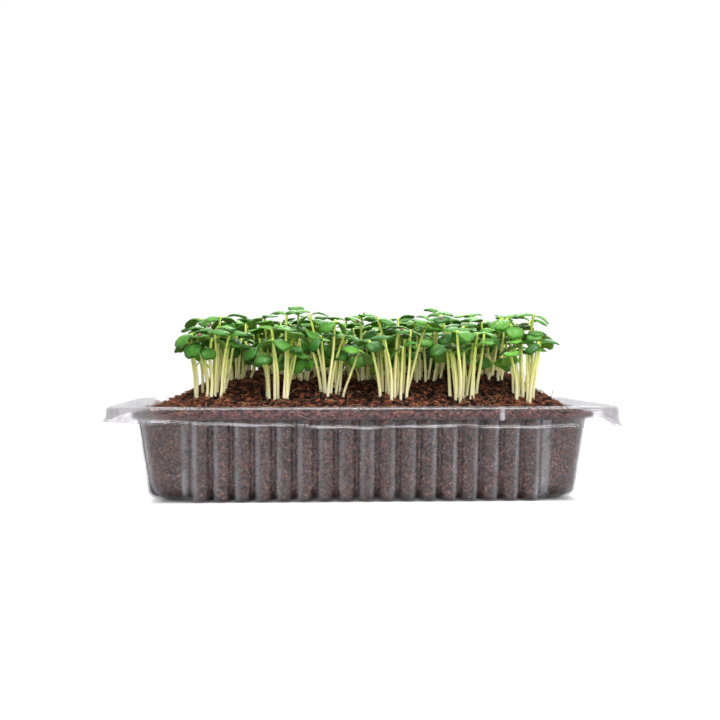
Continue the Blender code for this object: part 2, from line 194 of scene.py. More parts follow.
def cellNode(tree, scale):
    # one random number for each crumb-shaped cell, the cells' edges roughened by noise
    place = addNode(tree, "ShaderNodeTexCoord").outputs["Object"]
    ragged = addNode(tree, "ShaderNodeTexNoise", {"Vector": place, "Scale": scale * 1.3, "Detail": 2.0})
    values = {0: ragged.outputs["Color"], 1: (0.9 / scale,) * 3, 2: place}
    shifted = addNode(tree, "ShaderNodeVectorMath", values, operation="MULTIPLY_ADD").outputs["Vector"]
    cells = addNode(tree, "ShaderNodeTexVoronoi", {"Vector": shifted, "Scale": scale})
    return addNode(tree, "ShaderNodeSeparateXYZ", {"Vector": cells.outputs["Color"]}).outputs["X"]


def rampNode(tree, factor, stops):
    # a run of colours, where one number stands for a grey
    ramp = addNode(tree, "ShaderNodeValToRGB", {"Fac": factor})
    elements = ramp.color_ramp.elements
    while len(elements) < len(stops):
        elements.new(0.5)
    for element, (position, colour) in zip(elements, stops):
        element.position = position
        element.color = (*(colour if isinstance(colour, tuple) else (colour,) * 3), 1.0)
    return ramp.outputs["Color"]


def mixNode(tree, factor, first, second, blend="MIX"):
    # the first colour turned into the second as the factor grows, or blended with it another way
    values = {"Factor": factor, "A": first, "B": second}
    return addNode(tree, "ShaderNodeMix", values, data_type="RGBA", blend_type=blend).outputs["Result"]


def timesNode(tree, first, second):
    # one colour times another
    return mixNode(tree, 1.0, first, second, "MULTIPLY")


def mathNode(tree, operation, first, second=0.0, clamp=False):
    # a sum worked out at each point, held between 0 and 1 when clamped
    node = addNode(tree, "ShaderNodeMath", {0: first, 1: second}, operation=operation, use_clamp=clamp)
    return node.outputs["Value"]


def bumpNode(tree, height, strength, distance, after=None):
    # shades the surface as if the height stood out by the distance in metres, on top of an earlier relief
    values = {"Height": height, "Strength": strength, "Distance": distance}
    if after is not None:
        values["Normal"] = after
    return addNode(tree, "ShaderNodeBump", values).outputs["Normal"]


# Camera and light

view = {
    "distance": 492.0,
    "height": 52.8,
    "turned": 0.0567,
    "focal": 59.9,
    "shift": (0.0022, -0.0036),
}

light = {
    "backdrop": 1.02,   # white straight behind the tray
    "sides": 0.30,      # grey walls of the room
    "behind": 0.13,     # dark end of the room, behind the camera
    "ceiling": 0.75,
    "floorGlow": 0.80,  # the lit white sheet under the tray
    "floorWhite": 0.36,
    "shadowPatch": (76.5, 54.0),  # half the size of the painted shadow under the tray, where the floor's glow is dimmed
    "shadowPatchEdge": 130.0,     # how sharply the painted shadow ends
}

lamps = {
    # where it stands, what it faces, its size, its power, and whether gloss mirrors it
    "softTop": ((-0.02, -0.30, 0.75), (0, 0, 0.04), (0.78, 0.45), 11.5, True),
    "softRight": ((0.75, -0.30, 0.35), (0, 0, 0.05), (0.3, 0.5), 3.2, True),
    "softFront": ((0.1, -1.3, 0.55), (0, 0, 0.05), (0.9, 0.5), 5.0, False),
    "softBack": ((0.15, 0.70, 0.50), (0, 0, 0.05), (0.7, 0.3), 5.0, True),
}


def makeCamera():
    # level, on a circle round the tray, looking at the tray's middle
    data = bpy.data.cameras.new("camera")
    data.lens = view["focal"]
    data.sensor_width = 36.0
    data.shift_x, data.shift_y = view["shift"]
    data.clip_start = 0.01
    data.clip_end = 50.0
    camera = bpy.data.objects.new("camera", data)
    angle = view["turned"]
    camera.location = Vector((-math.sin(angle), -math.cos(angle), 0)) * view["distance"] * mm
    camera.location.z = view["height"] * mm
    camera.rotation_euler = (math.pi / 2, 0, -angle)
    bpy.context.scene.collection.objects.link(camera)
    bpy.context.scene.camera = camera


def makeAreaLight(name, place, target, size, power, mirrored):
    # a rectangular lamp turned to face its target
    data = bpy.data.lights.new(name, "AREA")
    data.shape = "RECTANGLE"
    data.size, data.size_y = size
    data.energy = power
    lamp = bpy.data.objects.new(name, data)
    lamp.location = place
    lamp.rotation_euler = (Vector(target) - Vector(place)).to_track_quat("-Z", "Y").to_euler()
    lamp.visible_glossy = mirrored
    bpy.context.scene.collection.objects.link(lamp)


def makeStudio():
    # white straight behind, grey at the sides, dark behind the camera: brightness follows the direction's
    # y and z
    world = bpy.data.worlds.new("studio")
    world.use_nodes = True
    tree = world.node_tree
    way = placeNode(tree, "Generated")
    ahead = mathNode(tree, "MULTIPLY", mathNode(tree, "ADD", way["Y"], 1.0), 0.5)
    around = rampNode(tree, ahead, (
        (0.30, light["behind"]), (0.55, light["sides"]),
        (0.84, light["sides"] * 1.5), (0.93, light["backdrop"]),
    ))
    above = rampNode(tree, way["Z"], ((0.35, 0), (0.85, 1)))
    colour = mixNode(tree, above, around, (light["ceiling"],) * 3)
    seen = addNode(tree, "ShaderNodeLightPath").outputs["Is Camera Ray"]
    colour = mixNode(tree, seen, colour, (light["backdrop"],) * 3)  # white behind the tray in every view
    feed(tree, tree.nodes["Background"], {"Color": colour})
    bpy.context.scene.world = world
    for name, settings in lamps.items():
        makeAreaLight(name, *settings)
    bpy.context.scene.view_settings.view_transform = "Standard"
    bpy.context.scene.view_settings.look = "None"


def makeFloor():
    # a wide glowing white sheet with a painted shadow under and round the tray, where the glow is dimmed:
    # the glow follows how far a place lies past that dimmed area, the larger of its two distances
    mesh = bpy.data.meshes.new("floor")
    mesh.from_pydata([(-9, -3, 0), (9, -3, 0), (9, 40, 0), (-9, 40, 0)], [], [(0, 1, 2, 3)])
    floor = bpy.data.objects.new("floor", mesh)
    floor.location.z = -0.00005
    bpy.context.scene.collection.objects.link(floor)
    material, tree, shader = newMaterial("whiteSheet")
    place = placeNode(tree)
    offX = mathNode(tree, "SUBTRACT", mathNode(tree, "ABSOLUTE", place["X"]), light["shadowPatch"][0] * mm)
    offY = mathNode(tree, "SUBTRACT", mathNode(tree, "ABSOLUTE", place["Y"]), light["shadowPatch"][1] * mm)
    off = mathNode(tree, "MULTIPLY", mathNode(tree, "MAXIMUM", offX, offY), light["shadowPatchEdge"])
    # painted contact shadow: the glow falls to 0.13 just inside the dimmed area and is full again about 4 mm
    # past its edge
    lit = rampNode(tree, mathNode(tree, "ADD", off, 0.5), ((0.20, 0.13), (0.60, 0.42), (1.0, 1.0)))
    feed(tree, shader, {
        "Base Color": (light["floorWhite"],) * 3, "Roughness": 0.8, "Specular IOR Level": 0.1,
        "Emission Color": (1, 1, 1), "Emission Strength": mathNode(tree, "MULTIPLY", lit, light["floorGlow"]),
    })
    mesh.materials.append(material)


makeCamera()
makeStudio()
makeFloor()
print("camera, lights and floor are up")


# Tray

tray = {
    "halfX": 83.5, "halfY": 58.2, "corner": 17.0,  # body outline at the shoulder, middle of the wall
    "draft": 4.7, "shoulderZ": 30.0, "flangeZ": 33.0,
    "footFillet": 5.0, "footRise": 6.0,
    "ribPitch": 7.57, "ribOut": 2.3, "ribsLong": 17, "ribsShort": 10,
    "ribFootSetback": 1.6, "ribFootRise": 1.8,
    "collarOut": 3.4, "beadRise": 1.5, "beadFromY": 59.4,
    "flangeEnd": 12.1, "flangeFront": 8.0,
    "skirtZ": 30.4, "lipZ": 29.8, "lipSag": 1.9,
    "wall": 0.45, "pointsPerRib": 12, "cornerSteps": 22, "ribPower": 2.15,
    "creaseX": 48.6, "creaseWidth": 1.1, "creaseDepth": 0.7,
    "warp": 0.26, "flare": 0.10,  # waviness of the rim, and of the thin lip's tilt
    "stripe": 1.25, "cornerStripe": 1.6, "creaseSheen": 2.6, "topSheen": 0.8,  # painted highlights on the sheet in places: up the flutes, at the corners, along the crease, on the flange's flat top
    "stripeAt": (0.27, 0.73), "stripeWidth": 0.11,  # as shares of a flute, left and right of the middle
    "endSheen": (1.0, 0.6),  # painted reflection on the flange's left and right end
    "straight": (0.945, 0.94, 0.95), "slanted": (0.77, 0.765, 0.78),  # what one face lets through
    # the pale colours the painted highlights are painted in, faint and brightest
    "sheenFaint": (0.25, 0.24, 0.255), "sheenBrightest": (0.62, 0.60, 0.62),
}


def draftAt(z):
    # how far the wall has moved in at a level: in a straight line from nothing at the shoulder
    return tray["draft"] * (1 - z / tray["shoulderZ"])


def outlineColumns():
    # columns round the tray, anticlockwise from the front left: (cx, cy) picks the corner centre or a
    # place between two of them, angle is the way out, bulge is the rounded height of the flutes, one less
    # the distance from a crest to a power, and stripe is the strength of the painted highlight there, by a
    # bell curve
    columns = []
    phase = np.arange(tray["pointsPerRib"]) / tray["pointsPerRib"]
    reach = (tray["halfX"] - tray["corner"], tray["halfY"] - tray["corner"])
    for side, count in enumerate((tray["ribsLong"], tray["ribsShort"]) * 2):
        half = reach[side % 2]
        pitch = min(tray["ribPitch"], 2 * half / count)
        along = ((np.arange(count)[:, None] + phase[None, :]).ravel() - count / 2) * pitch
        bulge = np.tile(1 - np.abs(2 * phase - 1) ** tray["ribPower"], count)
        # painted highlight stripes: on the left flank of each flute on the tray's left half, on the right
        # flank on its right half, stronger towards the ends
        leftAt, rightAt = tray["stripeAt"]
        phases = np.tile(phase, count)
        stripe = np.where(along < 0, phases - leftAt, phases - rightAt) / tray["stripeWidth"]
        stripe = tray["stripe"] * np.exp(-stripe**2) * (0.45 + 0.55 * np.abs(along) / half)
        along = np.append(along, count * pitch / 2) / half
        bulge = np.append(bulge, 0.0)
        stripe = np.append(stripe, tray["cornerStripe"])
        wayAlong = ((1, 0), (0, 1), (-1, 0), (0, -1))[side]
        wayOut = ((0, -1), (1, 0), (0, 1), (-1, 0))[side]
        angle = np.full(len(along), math.atan2(wayOut[1], wayOut[0]))
        cx = along * wayAlong[0] + wayOut[0]
        cy = along * wayAlong[1] + wayOut[1]
        columns.append(np.stack((cx, cy, angle, bulge, stripe), axis=1))
        steps = np.arange(0, tray["cornerSteps"] + 1) / tray["cornerSteps"] * math.pi / 2
        toEnd = np.minimum(steps, math.pi / 2 - steps)
        cornerX = np.full(len(steps), wayAlong[0] + wayOut[0])
        cornerY = np.full(len(steps), wayAlong[1] + wayOut[1])
        # painted highlight where each corner meets the sides
        stripe = 0.8 * tray["cornerStripe"] * np.exp(-((toEnd / 0.05) ** 2))
        columns.append(np.stack((cornerX, cornerY, angle[0] + steps, 0 * steps, stripe), axis=1))
    return np.concatenate(columns)


columns = outlineColumns()


def ringAt(outX, outY, corner):
    # one ring of the outline: corner centres stretched to size, plus the corner radius along the way out
    reachX = tray["halfX"] + outX - corner
    reachY = tray["halfY"] + outY - corner
    x = columns[:, 0] * reachX + corner * np.cos(columns[:, 2])
    y = columns[:, 1] * reachY + corner * np.sin(columns[:, 2])
    return np.stack((x, y), axis=1)


def bodyRings(shift, footRows=9, wallRows=7):
    # fluted wall from the floor's edge to the shoulder; each column runs from valley to crest with its
    # bulge, the foot turns in by a soft chamfer: part straight, part quarter circle
    bulge = columns[:, 3]
    way = np.stack((np.cos(columns[:, 2]), np.sin(columns[:, 2])), axis=1)
    rings = []
    footEnd = (-draftAt(tray["footRise"]), tray["ribOut"] - draftAt(tray["ribFootRise"]))
    crestStart = -tray["draft"] + tray["ribOut"] - tray["ribFootSetback"]
    footStart = (-tray["draft"] - tray["footFillet"], crestStart)
    base = ringAt(0, 0, tray["corner"])
    for share in np.linspace(0, 1, footRows):
        roundOut, roundUp = math.sin(share * math.pi / 2), 1 - math.cos(share * math.pi / 2)
        go, up = 0.55 * roundOut + 0.45 * share, 0.55 * roundUp + 0.45 * share
        valley = footStart[0] + (footEnd[0] - footStart[0]) * go
        crest = footStart[1] + (footEnd[1] - footStart[1]) * go
        level = up * (tray["footRise"] * (1 - bulge) + tray["ribFootRise"] * bulge)
        out = valley * (1 - bulge) + crest * bulge + shift
        rings.append(np.column_stack((base + way * out[:, None], level)))
    footLevel = rings[-1][:, 2]
    for share in np.linspace(0, 1, wallRows + 1)[1:]:
        level = footLevel + (tray["shoulderZ"] - footLevel) * share
        out = -draftAt(level) + tray["ribOut"] * bulge + shift
        rings.append(np.column_stack((base + way * out[:, None], level)))
    return rings


def rimRings():
    # shoulder, collar, flange, skirt and lip: rounded rings with softened bends; along the sides the flange
    # lies flat on top of the bead, at the ends it starts lower and rises to its outer edge; the lip sags
    # towards the front's middle and waves by a few sines
    corner = tray["corner"]
    collar = tray["collarOut"]
    flange, shoulder = tray["flangeZ"], tray["shoulderZ"]
    end, front = tray["flangeEnd"], tray["flangeFront"]
    top = flange + tray["beadRise"] + 0.2
    bends = (
        # out at the ends, out along the sides, corner, level at the ends, level along the sides, sag share
        (tray["ribOut"] + 0.35, tray["ribOut"] + 0.35, corner + 2.6, shoulder + 0.02, shoulder + 0.02, 0),
        (collar - 0.55, collar - 0.55, corner + 2.9, shoulder + 0.1, shoulder + 0.1, 0),
        (collar - 0.3, collar - 0.3, corner + 3.1, shoulder + 0.4, shoulder + 0.4, 0),
        (collar - 0.1, collar - 0.1, corner + 3.3, shoulder + 1.6, shoulder + 2.05, 0),
        (collar, collar, corner + 3.4, flange - 0.25, top - 0.5, 0),
        (collar + 0.15, collar + 0.15, corner + 3.5, flange + 0.05, top - 0.1, 0),
        (collar + 0.45, collar + 0.45, corner + 3.6, flange + 0.1, top, 0),
        (collar + 0.9, collar + 0.9, corner + 3.7, flange + 0.1, top, 0),
        (collar + 1.6, collar + 1.4, corner + 3.9, flange + 0.15, top - 0.05, 0),
        (collar + 2.6, collar + 2.0, corner + 4.2, flange + 0.3, top - 0.05, 0),
        (collar + 4.2, collar + 2.8, corner + 4.8, flange + 0.6, top - 0.05, 0),
        (end - 3.0, front - 1.2, 22.2, flange + 1.0, top - 0.05, 0),
        (end - 1.8, front - 0.75, 22.4, flange + 1.3, top - 0.1, 0),
        (end - 0.9, front - 0.4, 22.6, flange + 1.35, top - 0.3, 0),
        (end - 0.3, front - 0.15, 22.8, flange + 1.0, top - 0.65, 0.1),
        (end, front + 0.05, 22.9, flange + 0.3, top - 1.3, 0.25),
        (end + 0.1, front + 0.2, 23.0, flange - 0.8, flange - 0.6, 0.5),
        (end + 0.2, front + 0.35, 23.1, flange - 1.9, flange - 1.8, 0.8),
        (end + 0.35, front + 0.55, 23.2, tray["skirtZ"] - 0.1, tray["skirtZ"] - 0.05, 1),
        (end + 0.6, front + 0.9, 23.3, tray["skirtZ"] - 0.45, tray["skirtZ"] - 0.4, 1),
        (end + 0.95, front + 1.4, 23.4, tray["lipZ"] - 0.3, tray["lipZ"] - 0.25, 1),
        (end + 1.3, front + 1.85, 23.5, tray["lipZ"] - 0.75, tray["lipZ"] - 0.7, 1.05),
    )
    rings = []
    for outX, outY, radius, endLevel, sideLevel, sag in bends:
        ring = ringAt(outX, outY, radius)
        x, y = ring[:, 0], ring[:, 1]
        blend = 1.6 + 2.6 * min(max(outX - collar - 0.8, 0), 3)
        sideFrom = tray["beadFromY"] - 0.6 + outY - collar - blend
        z = endLevel + (sideLevel - endLevel) * smooth01((np.abs(y) - sideFrom) / blend)
        hangs = smooth01((x + 78) / 66) * smooth01(-y / 40)
        backHangs = np.clip(1 - (x / (tray["halfX"] - 6)) ** 2, 0, 1) * (y > tray["halfY"] - 2)
        z = z - sag * tray["lipSag"] * (hangs + backHangs)
        waves = np.sin(x * 0.115 + 1.7) * np.cos(y * 0.05) + 0.5 * np.sin(x * 0.31 + y * 0.12)
        z = z + sag * tray["warp"] * waves
        flare = min(max((outY - front - 0.5) / 1.35, 0), 1) * tray["flare"]
        waves = np.sin(x * 0.19 + 0.6) + 0.7 * np.sin(x * 0.43 + y * 0.2) + 0.5 * np.sin(y * 0.3 + 1.0)
        z = z + flare * waves
        if outX < collar + 0.7:
            crease = np.exp(-(((x - tray["creaseX"]) / tray["creaseWidth"]) ** 4)) * (y < 0)
            ring = ring + np.column_stack((0 * x, -tray["creaseDepth"] * crease))
        rings.append(np.column_stack((ring, z)))
    return rings


def gridNormals(grid):
    # the way out of a closed band of rings: rows crossed with columns
    alongRow = np.roll(grid, -1, axis=1) - np.roll(grid, 1, axis=1)
    alongColumn = np.gradient(grid, axis=0)
    normal = np.cross(alongRow, alongColumn)
    return normal / np.maximum(np.linalg.norm(normal, axis=2, keepdims=True), 1e-9)


def buildTray(plastic):
    # the sheet's middle surface pushed half the wall out and half in, closed at the lip, with two flat floors
    body = bodyRings(0.0)
    middle = np.array(body + rimRings())
    inner = middle[0] * (0.5, 0.5, 1.0)
    middle = np.concatenate((inner[None], middle))
    normal = gridNormals(middle)
    normal[0] = normal[1] = (0, 0, -1)
    outer = middle + normal * tray["wall"] / 2
    innerFace = middle - normal * tray["wall"] / 2
    grid = np.concatenate((outer, innerFace[::-1]))
    grid[:, :, 2] += tray["wall"] / 2  # the outer face of the floor down to level 0
    rows, count = grid.shape[:2]
    points = np.concatenate((grid.reshape(-1, 3), [(0, 0, grid[0, 0, 2]), (0, 0, grid[-1, 0, 2])]))
    # painted highlights point by point: stripes up the wall, then the crease, the flange's ends and its flat
    # top
    bodyRows = len(body) + 1
    topRows = slice(5, 14)  # rings of the flange's top, counted from the shoulder
    paintedSheen = np.zeros((len(middle), count))
    paintedSheen[3:bodyRows] = columns[None, :, 4]
    paintedSheen[bodyRows] = columns[:, 4] * 0.4
    rim = middle[bodyRows:]
    ends = smooth01((np.abs(rim[:, :, 0]) - 69) / 15)
    ends = ends * np.clip((np.arange(len(rim)) - 5) / 8, 0, 1)[:, None]  # grows from the collar to the skirt
    endSheen = np.where(rim[:, :, 0] < 0, *tray["endSheen"])
    crease = np.exp(-(((rim[:, :, 0] - tray["creaseX"]) / tray["creaseWidth"]) ** 4)) * (rim[:, :, 1] < 0)
    crease[8:] = 0  # only on the shoulder and the collar
    paintedSheen[bodyRows:] = np.maximum(paintedSheen[bodyRows:], np.maximum(ends * endSheen, crease * tray["creaseSheen"]))
    flatTop = smooth01((np.abs(rim[topRows, :, 1]) - tray["beadFromY"]) / 1.5)
    paintedSheen[bodyRows:][topRows] += tray["topSheen"] * flatTop
    paintedSheen = np.concatenate((paintedSheen.ravel(), paintedSheen[::-1].ravel(), (0, 0)))
    quads, caps = gridQuads(rows, count, True), capTris(rows, count)
    piece = addMesh("clearTray", points, quads, caps, [plastic], tint=paintedSheen)
    dress(piece, "tray")


def makePlastic():
    # clear sheet: see-through, darker where the eye passes through it at a slant, with mirror gloss that
    # grows by the fifth power towards grazing angles, a faint haze, fine scuffs and painted highlights in a
    # pale layer
    material, tree, hazeAndSheen = newMaterial("clearSheet")
    scuffs = noiseNode(tree, 300, 4, 0.65)
    facing = addNode(tree, "ShaderNodeLayerWeight", {"Blend": 0.5}).outputs["Facing"]
    # the painted highlight strength from the mesh's tint, which also sets how pale the layer's colour is
    paintedSheen = tintNode(tree)
    thick = mathNode(tree, "MULTIPLY", paintedSheen, 0.4)
    whiter = rampNode(tree, thick, ((0.66, tray["sheenFaint"]), (1.0, tray["sheenBrightest"])))
    feed(tree, hazeAndSheen, {"Base Color": whiter, "Roughness": 0.45})
    rough = addNode(tree, "ShaderNodeMapRange", {"Value": scuffs, "To Min": 0.04, "To Max": 0.20})
    gloss = addNode(tree, "ShaderNodeBsdfPrincipled", {
        "Metallic": 1.0, "Base Color": (0.95, 0.96, 0.98), "Roughness": rough.outputs["Result"],
        "Normal": bumpNode(tree, noiseNode(tree, 60, 2, 0.5), 0.12, 0.0010),
    })
    through = mixNode(tree, mathNode(tree, "POWER", facing, 3.0), tray["straight"], tray["slanted"])
    clear = addNode(tree, "ShaderNodeBsdfTransparent", {"Color": through})
    blotch = rampNode(tree, noiseNode(tree, 130, 3, 0.7), ((0.35, 0.25), (0.65, 1)))
    # painted highlight: the pale layer mixed over the see-through one by that strength, in blotches, plus a
    # faint haze from the scuffs
    veil = mathNode(tree, "MULTIPLY", mathNode(tree, "MULTIPLY", paintedSheen, blotch), 0.46)
    veil = mathNode(tree, "ADD", veil, mathNode(tree, "MULTIPLY", scuffs, 0.012), True)
    shine = mathNode(tree, "MULTIPLY", mathNode(tree, "POWER", facing, 5.0), 0.34)
    shine = mathNode(tree, "ADD", shine, 0.018)
    veiled = {"Fac": veil, 1: clear.outputs["BSDF"], 2: hazeAndSheen.outputs["BSDF"]}
    under = addNode(tree, "ShaderNodeMixShader", veiled).outputs["Shader"]
    glossed = {"Fac": shine, 1: under, 2: gloss.outputs["BSDF"]}
    whole = addNode(tree, "ShaderNodeMixShader", glossed).outputs["Shader"]
    feed(tree, tree.nodes["Material Output"], {"Surface": whole})
    return material


buildTray(makePlastic())
print("tray is built")


# Growing medium

soil = {
    "gap": 0.35,             # between the medium and the sheet
    "edgeZ": 33.0, "rise": 9.5, "slopeLeft": 34.0, "slopeRight": 24.0, "slopeSide": 42.0, "ledgeOut": 1.7,
    "mounds": ((-46.0, 6.0, 15.0, 2.6), (-6.0, 16.0, 15.0, 2.4), (44.0, -10.0, 13.0, 4.6),
               (20.0, 20.0, 18.0, 1.2), (-26.0, -30.0, 13.0, 1.0)),
    "hollows": ((-68.0, -34.0, 15.0, 1.6), (72.0, -30.0, 14.0, 1.4), (20.0, -24.0, 10.0, 1.6)),
    "gridX": 310, "gridY": 222,
    "seed": 11,
    "crumbs": 8800, "crumbSize": (0.20, 0.85), "crumbStretch": (0.40, 2.1),
    "fibres": 1300, "fibreRadius": (0.07, 0.17),
    "fibreLength": (2.2, 8.5),  # the shortest, and what the longest add to it
    "roots": 250, "hungRoots": 26, "rootLength": (5, 15), "rootRadius": (0.06, 0.15),
    "pressedRows": 34, "pressedDepth": 0.36,  # relief of the medium against the sheet
    "archRise": 0.9,         # lift of its foot between the flutes
    "endDrop": 1.9,          # how much lower it lies at the tray's two ends
    # height and size of the clods, of the two crumbs and of the grain, and how far the crumbs are bent
    "clods": ((1.1, 7.5), (0.6, 2.9)), "lumps": ((1.3, 3.4), (0.85, 1.5)),
    "grain": (0.55, 0.95), "bend": (1.1, 2.1),
    "pressedColours": (
        (0.0, (0.016, 0.009, 0.008)), (0.28, (0.030, 0.020, 0.018)), (0.34, (0.048, 0.042, 0.046)),
        (0.52, (0.060, 0.052, 0.056)), (0.58, (0.085, 0.040, 0.030)), (0.80, (0.110, 0.058, 0.048)),
        (0.86, (0.150, 0.105, 0.098)), (1.0, (0.200, 0.145, 0.130)),
    ),
    # the crumbly top, from painted shade near black in the hollows to rust on the heights
    "looseColours": (
        (0.36, (0.002, 0.001, 0.001)), (0.54, (0.012, 0.004, 0.002)), (0.78, (0.062, 0.017, 0.008)),
        (1.0, (0.25, 0.074, 0.030)),
    ),
    "rust": (0.165, 0.058, 0.036), "brightRust": (0.36, 0.13, 0.065), "fleck": (0.36, 0.120, 0.045),
    # darkest, palest and roughness of what lies on it
    "crumbLook": ((0.006, 0.002, 0.001), (0.185, 0.050, 0.021), 0.88),
    "fibreLook": ((0.050, 0.016, 0.007), (0.460, 0.190, 0.080), 0.7),
    "rootLook": ((0.26, 0.13, 0.06), (0.66, 0.46, 0.27), 0.6),
}


def bumps(x, y, places):
    # a sum of round hills, each falling by the bell curve of the distance to its middle
    total = 0 * x
    for cx, cy, spread, height in places:
        total = total + height * np.exp(-((x - cx) ** 2 + (y - cy) ** 2) / (2 * spread**2))
    return total


def soilLevel(x, y):
    # level of the medium: a soft rise in from the collar, broad mounds added and hollows taken away
    halfX, halfY = tray["halfX"] + soil["ledgeOut"], tray["halfY"] + soil["ledgeOut"]
    slope = np.where(x < 0, soil["slopeLeft"], soil["slopeRight"])
    share = smooth01((halfX - np.abs(x)) / slope) * smooth01((halfY - np.abs(y)) / soil["slopeSide"])
    rise = soil["rise"] + bumps(x, y, soil["mounds"]) - bumps(x, y, soil["hollows"])
    return soil["edgeZ"] + share * rise


def endDrop(x):
    # how much lower the medium lies, growing by smoothstep towards the tray's two ends
    return soil["endDrop"] * smooth01((np.abs(x) - 64) / 16)


def soilTop(x, y):
    # the real surface: the level, clods some millimetres across, crumbs of two sizes and a fine grain
    edge = np.minimum(tray["halfX"] + 3 - np.abs(x), tray["halfY"] + 3 - np.abs(y))
    fade = smooth01(edge / 9)
    (clod, clodSize), (lesser, lesserSize) = soil["clods"]
    (lump, lumpSize), (crumb, crumbSize) = soil["lumps"]
    grain, grainSize = soil["grain"]
    bend, bendSize = soil["bend"]
    z = soilLevel(x, y)
    z = z + clod * cloudNoise(x, y, clodSize, 1) * fade
    z = z + lesser * cloudNoise(x, y, lesserSize, 2) * (0.4 + 0.6 * fade)
    bentX = x + bend * cloudNoise(x, y, bendSize, 31)
    bentY = y + bend * cloudNoise(x, y, bendSize, 32)
    z = z + lump * (crumbNoise(bentX, bentY, lumpSize, 3) - 0.45) * (0.25 + 0.75 * fade)
    z = z + crumb * (crumbNoise(bentX, bentY, crumbSize, 4) - 0.45) * (0.5 + 0.5 * fade)
    z = z + grain * cloudNoise(x, y, grainSize, 6)
    z = z + 0.35 - endDrop(x)
    return np.maximum(z, tray["shoulderZ"] + 1.25 + 0.2 * cloudNoise(x, y, grainSize, 7))


def buildSoilBody(material):
    # the block behind the sheet: the tray's inner face, drawn in by the gap, up to under the bead
    drawIn = -(tray["wall"] / 2 + soil["gap"])
    rings = bodyRings(drawIn, 8, soil["pressedRows"])
    lift = tray["wall"] + 0.05 + soil["archRise"] * (1 - columns[:, 3])
    for index, ring in enumerate(rings):
        ring[:, 2] += lift * (1 - index / len(rings))
    girth = np.cumsum(np.linalg.norm(np.diff(rings[-1], axis=0, append=rings[-1][:1]), axis=1))
    way = np.stack((np.cos(columns[:, 2]), np.sin(columns[:, 2])), axis=1)
    for ring in rings[2:]:
        dent = 0.6 * crumbNoise(girth, ring[:, 2], 2.2, 21) + 0.4 * crumbNoise(girth, ring[:, 2], 1.3, 22)
        ring[:, :2] -= way * soil["pressedDepth"] * (1 - dent)[:, None]
    collar = tray["collarOut"] - tray["wall"] / 2 - 0.6
    shoulder = tray["shoulderZ"]
    # the block's shoulder, then its hidden top
    for back, up in ((0.6, 0.7), (0.1, 0.9), (0, 3.0), (1.8, 2.6)):
        out = collar - back
        ring = ringAt(out, out, tray["corner"] + out)
        level = shoulder + np.maximum(up - endDrop(ring[:, 0]) * 1.1 * (up > 1), 0.7)
        rings.append(np.column_stack((ring, level)))
    grid = np.array(rings)
    rows, count = grid.shape[:2]
    points = np.concatenate((grid.reshape(-1, 3), [(0, 0, grid[0, :, 2].min()), (0, 0, shoulder + 0.8)]))
    piece = addMesh("coirBlock", points, gridQuads(rows, count, True), capTris(rows, count), [material])
    dress(piece, "growing_medium")


def buildSoilTop(loose, pressed):
    # a sheet of points that fills the rounded outline, each row as wide as the outline is there, raised by
    # soilTop, with a wall down to a flat underside; the wall is pressed coir, seen through the collar; the
    # tint is how high each point stands over the mean of those round it, which the top's material paints as
    # shade in the hollows and light on the heights
    out = tray["collarOut"] - tray["wall"] / 2 - 0.35
    halfX, halfY, corner = tray["halfX"] + out, tray["halfY"] + out, tray["corner"] + out
    t = np.linspace(-1, 1, soil["gridY"])
    s = np.linspace(-1, 1, soil["gridX"])
    y = t * halfY
    overCorner = np.clip((np.abs(y) - (halfY - corner)) / corner, 0, 1)
    width = halfX - corner * (1 - np.sqrt(1 - overCorner**2))
    x = width[:, None] * s[None, :]
    y = np.repeat(y[:, None], len(s), axis=1)
    top = np.stack((x, y, soilTop(x, y)), axis=2)
    rows, count = top.shape[:2]
    ids = np.arange(rows * count).reshape(rows, count)
    border = np.concatenate((ids[0, :-1], ids[:-1, -1], ids[-1, :0:-1], ids[:0:-1, 0]))
    low = top.reshape(-1, 3)[border] * (1, 1, 0) + (0, 0, tray["shoulderZ"] + 0.95)
    points = np.concatenate((top.reshape(-1, 3), low, [(0, 0, tray["shoulderZ"] + 0.95)]))
    lowIds = rows * count + np.arange(len(border))
    after = np.roll(np.arange(len(border)), -1)
    wall = np.stack((border, lowIds, lowIds[after], border[after]), axis=1)
    fan = np.stack((np.full(len(border), len(points) - 1), lowIds[after], lowIds), axis=1)
    level = top[:, :, 2]
    around = sum(np.roll(level, (i, j), (0, 1)) for i in (-3, 0, 3) for j in (-3, 0, 3)) / 9
    # painted shade and light: points lower than their neighbours get a low tint, darkened in the material,
    # higher ones a high tint
    paintedReliefShade = np.clip(0.5 + (level - around) * 0.9, 0, 1)
    paintedReliefShade = np.concatenate((paintedReliefShade.ravel(), np.full(len(border) + 1, 0.3)))
    sheet = gridQuads(rows, count, False)
    faceMaterials = np.repeat((0, 1, 0), (len(sheet), len(wall), len(fan)))
    quads = np.concatenate((sheet, wall))
    piece = addMesh("coirTop", points, quads, fan, [loose, pressed], faceMaterials, tint=paintedReliefShade)
    dress(piece, "growing_medium")


